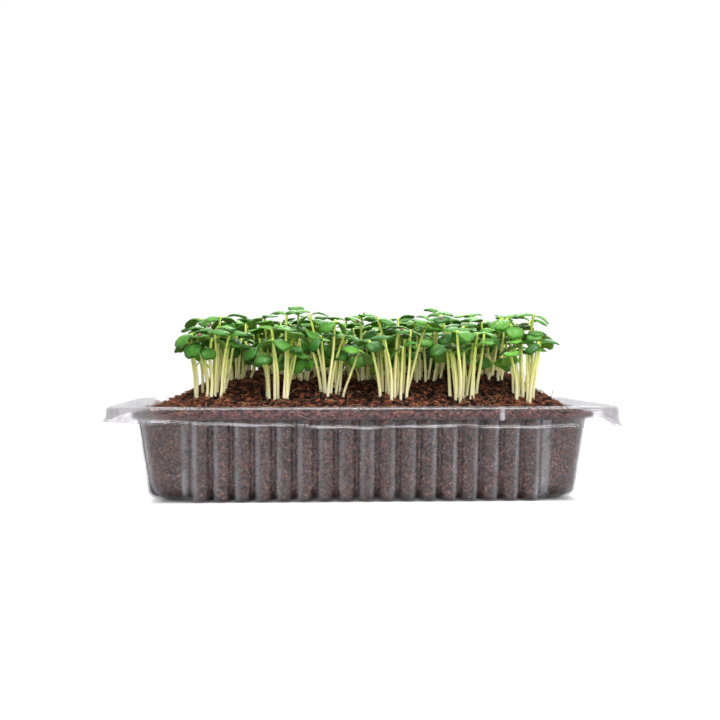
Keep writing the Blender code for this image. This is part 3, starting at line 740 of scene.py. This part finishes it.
def lumpTemplate():
    # an icosahedron: three golden rectangles
    g = (1 + math.sqrt(5)) / 2
    points = np.array((
        (-1, g, 0), (1, g, 0), (-1, -g, 0), (1, -g, 0), (0, -1, g), (0, 1, g),
        (0, -1, -g), (0, 1, -g), (g, 0, -1), (g, 0, 1), (-g, 0, -1), (-g, 0, 1),
    ), float) / math.sqrt(1 + g * g)
    faces = np.array((
        (0, 11, 5), (0, 5, 1), (0, 1, 7), (0, 7, 10), (0, 10, 11), (1, 5, 9), (5, 11, 4), (11, 10, 2),
        (10, 7, 6), (7, 1, 8), (3, 9, 4), (3, 4, 2), (3, 2, 6), (3, 6, 8), (3, 8, 9), (4, 9, 5),
        (2, 4, 11), (6, 2, 10), (8, 6, 7), (9, 8, 1),
    ))
    return points, faces


def scatterOnSoil(rng, count):
    # places drawn evenly inside the rounded outline
    halfX, halfY, corner = tray["halfX"] + 2.0, tray["halfY"] + 2.0, tray["corner"] + 2.0
    x = rng.uniform(-halfX, halfX, count * 2)
    y = rng.uniform(-halfY, halfY, count * 2)
    dx, dy = np.abs(x) - (halfX - corner), np.abs(y) - (halfY - corner)
    inside = ~((dx > 0) & (dy > 0) & (np.hypot(dx, dy) > corner))
    return x[inside][:count], y[inside][:count]


def buildCrumbs(material):
    # lumps: the template's points pushed in and out at random, turned, and half sunk in the surface
    rng = np.random.default_rng(soil["seed"])
    x, y = scatterOnSoil(rng, soil["crumbs"])
    count = len(x)
    low, high = soil["crumbSize"]
    size = low + (high - low) * rng.random(count) ** 3.2
    base, faces = lumpTemplate()
    points = base[None] * (1 + rng.uniform(-0.38, 0.38, (count, len(base), 1)))
    points = points * rng.uniform(*soil["crumbStretch"], (count, 1, 3)) * (1, 0.7, 0.6)
    angle = rng.uniform(0, turn, count)
    cos, sin = np.cos(angle)[:, None], np.sin(angle)[:, None]
    px = points[:, :, 0] * cos - points[:, :, 1] * sin
    py = points[:, :, 0] * sin + points[:, :, 1] * cos
    place = np.stack((x, y, soilTop(x, y) + size * 0.35), axis=1)
    points = np.stack((px, py, points[:, :, 2] * 0.85), axis=2) * size[:, None, None] + place[:, None, :]
    tris = (faces[None] + np.arange(count)[:, None, None] * len(base)).reshape(-1, 3)
    tint = np.repeat(rng.random(count) ** 2.2, len(base))
    piece = addMesh("coirCrumbs", points.reshape(-1, 3), [], tris, [material], tint=tint, smooth=False)
    dress(piece)


def tubes(paths, radii, sides):
    # thin tubes along many paths at once: a ring square to the path at each of its points, and both ends
    # closed to a point
    count, steps = paths.shape[:2]
    along = np.gradient(paths, axis=1)
    along /= np.maximum(np.linalg.norm(along, axis=2, keepdims=True), 1e-9)
    helper = np.where(np.abs(along[..., 2:3]) > 0.9, np.array((1.0, 0, 0)), np.array((0, 0, 1.0)))
    first = np.cross(along, helper)
    first /= np.maximum(np.linalg.norm(first, axis=2, keepdims=True), 1e-9)
    second = np.cross(along, first)
    angle = np.arange(sides) / sides * turn
    cos, sin = np.cos(angle)[:, None], np.sin(angle)[:, None]
    wayOut = first[:, :, None] * cos + second[:, :, None] * sin
    points = paths[:, :, None] + wayOut * radii[:, :, None, None]
    block = steps * sides
    quads = gridQuads(steps, sides, True)
    quads = (quads[None] + np.arange(count)[:, None, None] * (block + 2)).reshape(-1, 4)
    whole = np.concatenate((points.reshape(count, block, 3), paths[:, :1], paths[:, -1:]), axis=1)
    tris = (capTris(steps, sides)[None] + np.arange(count)[:, None, None] * (block + 2)).reshape(-1, 3)
    return whole.reshape(-1, 3), quads, tris, block + 2


def buildFibres(material):
    # coir hairs: short arcs that hug the surface and lift a little in the middle or at one end
    rng = np.random.default_rng(soil["seed"] + 1)
    x, y = scatterOnSoil(rng, soil["fibres"])
    count = len(x)
    t = np.linspace(0, 1, 7)[None, :]
    heading = rng.uniform(0, turn, count)[:, None]
    shortest, more = soil["fibreLength"]
    length = (shortest + more * rng.random(count) ** 2.2)[:, None]
    curl = rng.uniform(-1.6, 1.6, count)[:, None]
    px = x[:, None] + length * (t - 0.5) * np.cos(heading + curl * (t - 0.5))
    py = y[:, None] + length * (t - 0.5) * np.sin(heading + curl * (t - 0.5))
    px = np.clip(px, -(tray["halfX"] + 1.6), tray["halfX"] + 1.6)
    py = np.clip(py, -(tray["halfY"] + 1.6), tray["halfY"] + 1.6)
    lift = rng.uniform(0.1, 0.9, count)[:, None] * np.sin(np.pi * t)
    lift = lift + (rng.random(count) ** 5 * 4.0)[:, None] * t**2
    pz = soilTop(px, py) + 0.15 + lift
    radii = rng.uniform(*soil["fibreRadius"], count)[:, None] * (1 - 0.5 * t**3)
    points, quads, tris, block = tubes(np.stack((px, py, pz), axis=2), radii, 3)
    piece = addMesh("coirFibres", points, quads, tris, [material], tint=np.repeat(rng.random(count), block))
    dress(piece)


def makeCoirPressed():
    # the medium against the sheet: crumb by crumb nearly black, slate, brown or mauve, with rust specks of
    # two sizes and broad damp patches; behind the collar it is redder and painted brighter, as painted light
    # against the flange's shade
    material, tree, shader = newMaterial("coirPressed")
    broad = noiseNode(tree, 110, 4, 0.65)
    damp = rampNode(tree, broad, ((0.36, (0.62, 0.64, 0.68)), (0.50, 0.95), (0.64, (1.35, 1.28, 1.25))))
    crumb = rampNode(tree, cellNode(tree, 1800), soil["pressedColours"])
    grain = noiseNode(tree, 800, 4, 0.72)
    shade = rampNode(tree, grain, ((0.38, 0.45), (0.50, 0.92), (0.62, (1.4, 1.35, 1.32))))
    colour = timesNode(tree, timesNode(tree, crumb, damp), shade)
    speck = rampNode(tree, cellNode(tree, 2300), ((0.83, 0), (0.84, 0.80)))
    colour = mixNode(tree, speck, colour, soil["rust"])
    bright = rampNode(tree, cellNode(tree, 1900), ((0.982, 0), (0.985, 0.9)))
    colour = mixNode(tree, bright, colour, soil["brightRust"])
    # painted light: above about 31 mm, behind the collar, the colour is made brighter and redder to lift the
    # flange's shade
    height = mathNode(tree, "MULTIPLY", placeNode(tree)["Z"], 20.0)
    redderPaintedLight = rampNode(tree, height, ((0.610, 1), (0.635, (1.75, 1.22, 1.12))))
    feed(tree, shader, {
        "Base Color": timesNode(tree, colour, redderPaintedLight), "Roughness": 0.75, "Specular IOR Level": 0.3,
        "Normal": bumpNode(tree, grain, 0.9, 0.0006),
    })
    return material


def makeCoirOpen():
    # the crumbly top: painted shade near black in the hollows, painted light rust on the heights, orange
    # flecks, dull and very rough
    material, tree, shader = newMaterial("coirOpen")
    grain = noiseNode(tree, 1100, 5, 0.75)
    broken = mathNode(tree, "ADD", tintNode(tree), mathNode(tree, "SUBTRACT", grain, 0.5))
    crumb = mathNode(tree, "MULTIPLY", mathNode(tree, "SUBTRACT", cellNode(tree, 950), 0.6), 0.34)
    # painted shade: the relief tint, broken by grain and crumbs, runs from near black in the hollows to rust
    # on the heights
    base = rampNode(tree, mathNode(tree, "ADD", broken, crumb), soil["looseColours"])
    fleck = rampNode(tree, noiseNode(tree, 1500, 2, 0.5), ((0.66, 0), (0.74, 1)))
    feed(tree, shader, {
        "Base Color": mixNode(tree, fleck, base, soil["fleck"]), "Roughness": 0.92, "Specular IOR Level": 0.2,
        "Normal": bumpNode(tree, grain, 1.0, 0.0007),
    })
    return material


def makeTinted(name, dark, pale, roughness):
    # one colour for each crumb or hair, from its tint number, broken up by a fine grain
    material, tree, shader = newMaterial(name)
    own = rampNode(tree, tintNode(tree), ((0.0, dark), (1.0, pale)))
    grain = noiseNode(tree, 1400, 3, 0.6)
    feed(tree, shader, {
        "Base Color": timesNode(tree, own, rampNode(tree, grain, ((0.3, 0.45), (0.65, 1)))),
        "Roughness": roughness, "Specular IOR Level": 0.3, "Normal": bumpNode(tree, grain, 0.6, 0.0003),
    })
    return material


def buildRoots(material, places):
    # pale roots round the feet of the bunches: each leaves its bunch on a bent line, wanders off it by a sine
    # and hugs the crumbs; some lift clear of the surface, and a few hang behind the front of the collar
    rng = np.random.default_rng(soil["seed"] + 2)
    count = soil["roots"]
    t = np.linspace(0, 1, 12)[None, :]
    centre = np.array([places[index] for index in rng.integers(0, len(places), count)])
    heading = rng.uniform(0, turn, count)[:, None]
    length = rng.uniform(*soil["rootLength"], count)[:, None]
    bend = rng.uniform(-1.2, 1.2, count)[:, None]
    wander = 0.9 * np.sin(t * rng.uniform(4, 11, count)[:, None] + rng.uniform(0, turn, count)[:, None])
    course = heading + bend * t
    px = centre[:, :1] + 2.2 * np.cos(heading) + length * t * np.cos(course) - wander * np.sin(heading)
    py = centre[:, 1:] + 2.2 * np.sin(heading) + length * t * np.sin(course) + wander * np.cos(heading)
    px = np.clip(px, -(tray["halfX"] + 1.4), tray["halfX"] + 1.4)
    py = np.clip(py, -(tray["halfY"] + 1.4), tray["halfY"] + 1.4)
    lift = rng.uniform(0, 1.1, count)[:, None] * np.sin(np.pi * t) ** 2
    lift = lift + (rng.random(count) ** 6 * 11)[:, None] * t**1.5
    pz = soilTop(px, py) + 0.2 + lift
    hung = soil["hungRoots"]
    start = rng.uniform(-72, 72, hung)[:, None]
    px[:hung] = start + wander[:hung] * 1.3 + rng.uniform(-3, 3, hung)[:, None] * t
    py[:hung] = -(tray["halfY"] + tray["collarOut"] - 0.43)
    pz[:hung] = tray["flangeZ"] + 2.2 - rng.uniform(2.5, 5.0, hung)[:, None] * t
    radii = rng.uniform(*soil["rootRadius"], count)[:, None] * (1 - 0.6 * t**2)
    points, quads, tris, block = tubes(np.stack((px, py, pz), axis=2), radii, 3)
    piece = addMesh("paleRoots", points, quads, tris, [material], tint=np.repeat(rng.random(count), block))
    dress(piece)


pressed = makeCoirPressed()
buildSoilBody(pressed)
buildSoilTop(makeCoirOpen(), pressed)
buildCrumbs(makeTinted("crumbs", *soil["crumbLook"]))
buildFibres(makeTinted("hairs", *soil["fibreLook"]))
print("growing medium is built")


# Seedlings: the same rule and the same draws as the solids, then more of them between

bunch = {
    "seed": 27,
    "rowY": (-40.0, -20.0, 0.0, 20.0, 40.0),
    "rowHalfX": (58.0, 47.0, 58.0, 47.0, 58.0),
    "rowCount": (6, 5, 6, 5, 6),
    "jitter": 3.0, "belowSoil": 1.4,
    "samplesAlong": (0.1, 0.4, 0.7, 0.96), "samplesAcross": (-0.45, -0.15, 0.15, 0.45),
    "clearance": 2.05, "tries": 160,
    "extra": 11, "extraClearance": 0.85, "extraTries": 40,
}

plannedRule = {
    "tip": (58.0, 65.0), "tallTip": (66.5, 70.5), "lowTip": (50.0, 57.0), "tallShare": 0.16, "lowShare": 0.14,
    "rise": (-36, 32), "length": (6.8, 8.2), "widthShare": (0.86, 1.0), "rootOut": (0.9, 2.1),
}

betweenRule = {
    "tip": (56.5, 64.0), "tallTip": (65.0, 69.0), "lowTip": (52.5, 56.5), "tallShare": 0.10, "lowShare": 0.10,
    "rise": (-38, 26), "length": (6.6, 8.6), "widthShare": (0.80, 1.0), "rootOut": (1.0, 6.5),
}

leaf = {
    "around": 14, "ringsAbove": (0.42, 0.76, 1.0), "ringsBelow": (0.90,),
    "notch": 0.08, "fold": 0.16, "thickness": 0.45, "groove": 0.02, "ripple": 0.02,
    "dome": (0.12, 0.22), "droop": (0.10, 0.34), "roll": (0.04, 0.16),
    # darkest leaf, palest leaf and veins, and the roughness at its least
    "upper": ((0.013, 0.096, 0.006), (0.076, 0.275, 0.016), (0.22, 0.46, 0.07), 0.37),
    "under": ((0.085, 0.215, 0.024), (0.155, 0.330, 0.042), (0.32, 0.50, 0.11), 0.5),
    "throat": (0.36, 0.50, 0.07),
}

stem = {
    "sides": 6, "steps": 7, "sway": 0.6,
    "radiusFoot": 0.76, "radiusTop": 0.52, "joint": 0.16,
    "thin": 0.74,  # the thinnest stem as a share of the thickest
    "colours": (
        (0.0, (0.82, 0.64, 0.37)), (0.2, (0.98, 0.92, 0.62)), (0.5, (0.92, 0.89, 0.38)),
        (0.80, (0.60, 0.68, 0.15)), (1.0, (0.42, 0.56, 0.08)),
    ),
}


def unit(vector):
    # the same direction with length one
    return vector / np.linalg.norm(vector)


def bunchPlaces():
    # evenly along each row, then moved a little at random
    rng = random.Random(bunch["seed"])
    places = []
    for y, half, count in zip(bunch["rowY"], bunch["rowHalfX"], bunch["rowCount"]):
        for index in range(count):
            x = -half + 2 * half * index / (count - 1)
            jitter = bunch["jitter"]
            places.append((x + rng.uniform(-1, 1) * jitter, y + rng.uniform(-1, 1) * jitter))
    return places


def stemPoints(root, tip, bow, steps):
    # upright out of the medium, then bowing over: the sideways share is t squared blended with t
    t = np.linspace(0, 1, steps + 1)
    side = t * t * (1 - bow) + t * bow
    flat = root[None, :2] + (tip - root)[None, :2] * side[:, None]
    return np.column_stack((flat, root[2] + (tip[2] - root[2]) * t))


def tipRange(rule, draw):
    # most tips stand level, a few are taller and a few shorter
    if draw < rule["lowShare"]:
        return rule["lowTip"]
    return rule["tallTip"] if draw > 1 - rule["tallShare"] else rule["tip"]


def drawSeedling(rng, rule, centre, soilZ, heading, spread):
    # one stem and its two seed leaves; each leaf is (where it starts, way along, way across, length, width)
    rootOut = rng.uniform(*rule["rootOut"])
    level = rng.uniform(*tipRange(rule, rng.random()))
    height = level - soilZ
    lean = rng.uniform(0.25, 1.0) * spread
    root = np.array((centre[0] + rootOut * math.cos(heading), centre[1] + rootOut * math.sin(heading), 0.0))
    root[2] = soilZ - bunch["belowSoil"]
    away = heading + rng.uniform(-0.5, 0.5)
    tip = root + np.array((lean * math.cos(away), lean * math.sin(away), height + bunch["belowSoil"]))
    bow = rng.uniform(0.1, 0.8)
    twist = rng.uniform(0, math.pi)
    stemWay = unit(np.array((0.9 * (tip[0] - root[0]), 0.9 * (tip[1] - root[1]), height)))
    leaves = []
    for side in (0, 1):
        headingLeaf = twist + side * math.pi + rng.uniform(-0.25, 0.25)
        rise = math.radians(rng.uniform(*rule["rise"]))
        flat = np.array((math.cos(headingLeaf), math.sin(headingLeaf), 0.0))
        flat = unit(flat - stemWay * float(flat @ stemWay))
        along = unit(flat * math.cos(rise) + stemWay * math.sin(rise))
        across = unit(np.cross(stemWay, along))
        length = rng.uniform(*rule["length"])
        width = length * rng.uniform(*rule["widthShare"])
        leaves.append((tip - stemWay * 0.4, along, across, length, width))
    return root, tip, bow, leaves


def samplePoints(seedling):
    # points along the stem and in a lattice on each leaf
    root, tip, bow, leaves = seedling
    share = np.array(bunch["samplesAlong"])[:, None, None]
    side = np.array(bunch["samplesAcross"])[None, :, None]
    half = np.sin(math.pi * np.clip(share, 0.15, 0.86)) ** 0.5
    points = [stemPoints(root, tip, bow, 12)[3:]]
    for base, along, across, length, width in leaves:
        points.append((base + along * share * length + across * side * width * half).reshape(-1, 3))
    return np.concatenate(points)


def clearOf(points, taken):
    # smallest distance to what is already there
    if not len(taken):
        return 1e9
    gaps = points[:, None, :] - taken[None, :, :]
    return math.sqrt(float((gaps**2).sum(axis=2).min()))


def nearBy(taken, centre):
    # the points that a seedling of this bunch could come near
    return taken[(np.abs(taken[:, 0] - centre[0]) < 36) & (np.abs(taken[:, 1] - centre[1]) < 36)]


def soilAt(x, y):
    # the medium's level at one place, as a plain number
    return float(soilLevel(np.float64(x), np.float64(y)))


def planBunches():
    # three or four seedlings round each place; one that comes too near what is there is drawn again, turned
    # and leaning further
    rng = random.Random(bunch["seed"] + 1)
    bunches = []
    taken = np.zeros((0, 3))
    for x, y in bunchPlaces():
        soilZ = soilAt(x, y)
        outward = math.atan2(y / tray["halfY"], x / tray["halfX"])
        edge = min(1.0, math.hypot(x / tray["halfX"], y / tray["halfY"]))
        count = 4 if rng.random() < 0.3 else 3
        start = outward + rng.uniform(-0.4, 0.4)
        near = nearBy(taken, (x, y))
        seedlings = []
        for index in range(count):
            heading = start + 2 * math.pi * index / count
            for attempt in range(bunch["tries"]):
                spread = 5.0 + 6.5 * attempt / bunch["tries"] + 2.5 * edge * math.cos(heading - outward)
                drawn = drawSeedling(rng, plannedRule, (x, y), soilZ, heading, spread)
                points = samplePoints(drawn)
                if clearOf(points, near) > bunch["clearance"]:
                    seedlings.append(drawn)
                    taken = np.vstack((taken, points))
                    near = np.vstack((near, points))
                    break
                heading += rng.uniform(-0.5, 0.5)
        bunches.append(((x, y), soilZ, seedlings))
    return bunches, taken


def addBetween(bunches, taken):
    # more seedlings in each bunch, drawn by the same rule with their own seed, where there is room; their
    # leaves hang more
    rng = random.Random(bunch["seed"] + 2)
    for centre, soilZ, seedlings in bunches:
        near = nearBy(taken, centre)
        for index in range(bunch["extra"]):
            for attempt in range(bunch["extraTries"]):
                heading = rng.uniform(0, turn)
                reach = 3.0 + 8.5 * attempt / bunch["extraTries"]
                drawn = drawSeedling(rng, betweenRule, centre, soilZ, heading, reach)
                points = samplePoints(drawn)
                if clearOf(points, near) > bunch["extraClearance"]:
                    seedlings.append(drawn)
                    near = np.vstack((near, points))
                    taken = np.vstack((taken, points))
                    break


def leafHeight(share, side, dome, droop, roll):
    # a dome, with the tip drooping by the square of the way along, the edges rolled down by the square of
    # the way across, and a shallow groove along the midrib
    height = dome * np.sin(np.pi * np.clip(share, 0, 1)) - droop * share * share - roll * side * side
    return height - leaf["groove"] * np.exp(-((side / 0.14) ** 2)) * np.sin(np.pi * np.clip(share, 0, 1))


def leafShape(rng):
    # how far one blade domes, droops at the tip and rolls at the edges, and where its wave starts
    ranges = leaf["dome"], leaf["droop"], leaf["roll"], (0, turn)
    return tuple(rng.uniform(*limits) for limits in ranges)


def leafMesh(blade, shape):
    # rings round a disc, above and then below, laid out as the blade: share runs from the stem to the
    # notched tip, side from edge to edge
    base, along, across, length, width = blade
    normal = np.cross(along, across)
    angle = np.arange(leaf["around"]) / leaf["around"] * turn
    radius = np.array((0.0,) + leaf["ringsAbove"] + leaf["ringsBelow"] + (0.0,))
    face = np.array([1.0] * len(leaf["ringsAbove"]) + [0.0] + [-1.0] * (len(leaf["ringsBelow"]) + 1))
    cx = radius[:, None] * np.cos(angle)[None, :]
    side = radius[:, None] * np.sin(angle)[None, :]
    share = (1 - cx) / 2
    share = share * (1 - (leaf["notch"] - leaf["fold"] * np.abs(side)) * smooth01(share / 0.3))
    half = 0.5 * width * side * (0.86 + 0.24 * share) * smooth01((share + 0.16) / 0.3)
    dome, droop, roll, wave = shape
    height = leafHeight(share, side, dome, droop, roll) * length
    height = height + leaf["ripple"] * length * radius[:, None] ** 2 * np.sin(3 * angle + wave)[None, :]
    thick = leaf["thickness"] * (0.5 + 0.5 * np.sqrt(np.clip(1 - radius**2, 0, 1)))
    below = np.where(face < 0, -thick, -0.5 * leaf["thickness"] * 0.5)
    height = height + np.where(face > 0, 0.0, below)[:, None]
    reach = 0.1 + share * (length - 0.1)
    points = base + along * reach[..., None] + across * half[..., None] + normal * height[..., None]
    rings = len(radius) - 2
    grid = points[1:-1]
    whole = np.concatenate((grid.reshape(-1, 3), points[0, :1], points[-1, :1]))
    uv = np.stack((0.5 + 0.5 * side, share), axis=2)
    wholeUv = np.concatenate((uv[1:-1].reshape(-1, 2), uv[0, :1], uv[-1, :1]))
    around = leaf["around"]
    quads = gridQuads(rings, around, True)
    under = np.arange(len(quads)) // around >= len(leaf["ringsAbove"]) - 1
    faceMaterials = np.concatenate((np.where(under, 2, 1), np.full(around, 1), np.full(around, 2)))
    return whole, quads, capTris(rings, around), faceMaterials, wholeUv


def stemMesh(seedling, rng):
    # a tapered tube along the stem's bow, swaying a little between its ends, fuller where the leaves join
    root, tip, bow, _ = seedling
    path = stemPoints(root, tip, bow, stem["steps"])
    t = np.linspace(0, 1, len(path))
    heading, turns = rng.uniform(0, turn), rng.uniform(0.8, 1.6)
    sway = stem["sway"] * np.sin(np.pi * t) * np.sin(turns * np.pi * t + heading)
    path[:, 0] += sway * math.cos(heading)
    path[:, 1] += sway * math.sin(heading)
    path = np.concatenate((path[:1] - (path[1:2] - path[:1]) * 0.5, path))
    t = np.linspace(0, 1, len(path))
    radii = stem["radiusFoot"] + (stem["radiusTop"] - stem["radiusFoot"]) * t
    radii = radii + stem["joint"] * np.exp(-((t - 1) / 0.05) ** 2)
    radii = radii * rng.uniform(stem["thin"], 1.0)
    points, quads, tris, _ = tubes(path[None], radii[None], stem["sides"])
    uv = np.stack(np.meshgrid(np.arange(stem["sides"]) / stem["sides"], t), axis=2).reshape(-1, 2)
    uv = np.concatenate((uv, ((0.5, 0.0), (0.5, 1.0))))
    return points, quads, tris, np.zeros(len(quads) + len(tris)), uv


def buildBunch(name, node, plan, shapes, materials, rng):
    # stems and leaves of one bunch gathered in one mesh, each part's point numbers moved past those before it
    allPoints, allQuads, allTris, quadMaterials, triMaterials, allUv, allTint = [], [], [], [], [], [], []
    first = 0
    for seedling, bends in zip(plan[2], shapes):
        own = rng.random()
        parts = [stemMesh(seedling, rng)] + [leafMesh(blade, bend) for blade, bend in zip(seedling[3], bends)]
        for points, quads, tris, faceMaterials, uv in parts:
            allPoints.append(points)
            allQuads.append(quads + first)
            allTris.append(tris + first)
            quadMaterials.append(faceMaterials[:len(quads)])
            triMaterials.append(faceMaterials[len(quads):])
            allUv.append(uv)
            allTint.append(np.full(len(points), own * 0.7 + rng.random() * 0.3))
            first += len(points)
    piece = addMesh(
        name, np.concatenate(allPoints), np.concatenate(allQuads), np.concatenate(allTris), materials,
        np.concatenate(quadMaterials + triMaterials), np.concatenate(allUv), np.concatenate(allTint),
    )
    dress(piece, node)


def makeStemMaterial():
    # nearly white at the foot, yellow-green above, with faint lengthwise streaks; a little light passes in
    material, tree, shader = newMaterial("paleStem")
    along = rampNode(tree, placeNode(tree, "UV")["Y"], stem["colours"])
    streaks = noiseNode(tree, 9, 3, 0.6, "UV", (14, 1.2, 1))
    streaks = rampNode(tree, streaks, ((0.3, (0.86, 0.86, 0.80)), (0.7, 1)))
    feed(tree, shader, {
        "Base Color": timesNode(tree, along, streaks), "Roughness": 0.42, "Subsurface Weight": 0.25,
        "Subsurface Radius": (0.0012, 0.0012, 0.0005), "Subsurface Scale": 1.0,
        "Normal": bumpNode(tree, noiseNode(tree, 12, 3, 0.6, "UV", (10, 2, 1)), 0.25, 0.0002),
    })
    return material


def makeLeafMaterial(name, dark, pale, veinColour, gloss):
    # leaf green that differs leaf by leaf, mottled, with a pale midrib, side veins that slant along the
    # blade's own map by a sharpened sine, and a yellow throat by the stem
    material, tree, shader = newMaterial(name)
    green = rampNode(tree, tintNode(tree), ((0.0, dark), (1.0, pale)))
    mottle = noiseNode(tree, 420, 4, 0.6)
    mottle = rampNode(tree, mottle, ((0.3, (0.70, 0.74, 0.66)), (0.7, (1.12, 1.10, 1.06))))
    broad = noiseNode(tree, 70, 2, 0.5)
    broad = rampNode(tree, broad, ((0.35, (0.74, 0.84, 0.80)), (0.65, (1.30, 1.14, 1.05))))
    green = timesNode(tree, timesNode(tree, green, mottle), broad)
    place = placeNode(tree, "UV")
    offMiddle = mathNode(tree, "ABSOLUTE", mathNode(tree, "SUBTRACT", place["X"], 0.5))
    midrib = mathNode(tree, "SUBTRACT", 1.0, mathNode(tree, "MULTIPLY", offMiddle, 24.0), True)
    midrib = mathNode(tree, "MULTIPLY", midrib, mathNode(tree, "SUBTRACT", 1.05, place["Y"], True))
    slant = mathNode(tree, "SUBTRACT", place["Y"], mathNode(tree, "MULTIPLY", offMiddle, 0.9))
    ribs = mathNode(tree, "SINE", mathNode(tree, "MULTIPLY", slant, 38.0))
    ribs = mathNode(tree, "POWER", mathNode(tree, "MAXIMUM", ribs, 0.0), 9.0)
    veins = mathNode(tree, "MAXIMUM", midrib, mathNode(tree, "MULTIPLY", ribs, 0.35), True)
    throat = mathNode(tree, "SUBTRACT", 1.0, mathNode(tree, "MULTIPLY", place["Y"], 6.5), True)
    colour = mixNode(tree, mathNode(tree, "MULTIPLY", veins, 0.42), green, veinColour)
    colour = mixNode(tree, mathNode(tree, "MULTIPLY", throat, 0.85), colour, leaf["throat"])
    uneven = noiseNode(tree, 700, 3, 0.6)
    rough = addNode(tree, "ShaderNodeMapRange", {"Value": uneven, "To Min": gloss, "To Max": gloss + 0.18})
    fine = bumpNode(tree, noiseNode(tree, 1300, 3, 0.6), 0.35, 0.00015)
    sunkVeins = bumpNode(tree, mathNode(tree, "SUBTRACT", 1.0, veins), 0.5, 0.0003, fine)
    feed(tree, shader, {
        "Base Color": colour, "Roughness": rough.outputs["Result"], "Subsurface Weight": 0.12,
        "Subsurface Radius": (0.0005, 0.0010, 0.0003), "Subsurface Scale": 1.0, "Sheen Weight": 0.02,
        "Specular IOR Level": 0.40, "Normal": sunkVeins,
    })
    return material


greenMaterials = [
    makeStemMaterial(),
    makeLeafMaterial("leafUpper", *leaf["upper"]),
    makeLeafMaterial("leafUnder", *leaf["under"]),
]
bunches, taken = planBunches()
planned = sum(len(plan[2]) for plan in bunches)
addBetween(bunches, taken)
leafRng = np.random.default_rng(bunch["seed"])
bends = [[[leafShape(leafRng) for blade in seedling[3]] for seedling in plan[2]] for plan in bunches]
for index, plan in enumerate(bunches):
    number = f"{index + 1:02d}"
    buildBunch(f"seedlings{number}", f"bunch_{number}", plan, bends[index], greenMaterials, leafRng)
print("seedlings are built:", planned, "as planned and", sum(len(plan[2]) for plan in bunches), "in all")

buildRoots(makeTinted("roots", *soil["rootLook"]), [plan[0] for plan in bunches])


coats = {"count": 30, "size": (0.75, 1.15), "look": ((0.085, 0.022, 0.020), (0.36, 0.15, 0.13), 0.45)}


def buildSeedCoats(material, bunches, bends):
    # split seed coats still caught on leaves: a lopsided ball stuck to the surface of some blades
    rng = np.random.default_rng(bunch["seed"] + 3)
    blades = [blade for plan in bunches for seedling in plan[2] for blade in seedling[3]]
    shapes = [shape for plan in bends for seedling in plan for shape in seedling]
    base, faces = lumpTemplate()
    chosen = rng.choice(len(blades), coats["count"], replace=False)
    points = []
    for index in chosen:
        start, along, across, length, width = blades[index]
        normal = np.cross(along, across)
        share, side = rng.uniform(0.6, 0.92), rng.uniform(-0.5, 0.5)
        height = leafHeight(share, side, *shapes[index][:3]) * length
        place = start + along * length * share + across * width * side * 0.5 + normal * height
        shape = base * (1 + rng.uniform(-0.14, 0.14, (len(base), 1)))
        shape = shape * rng.uniform(0.75, 1.1, 3) * rng.uniform(*coats["size"])
        points.append(place + shape)
    count = len(points)
    tris = (faces[None] + np.arange(count)[:, None, None] * len(base)).reshape(-1, 3)
    tint = np.repeat(rng.random(count), len(base))
    piece = addMesh("seedCoats", np.concatenate(points), [], tris, [material], tint=tint)
    subdivide = piece.modifiers.new("round", "SUBSURF")
    subdivide.levels = subdivide.render_levels = 1
    dress(piece)


buildSeedCoats(makeTinted("seedCoat", *coats["look"]), bunches, bends)
print("roots and seed coats are in")
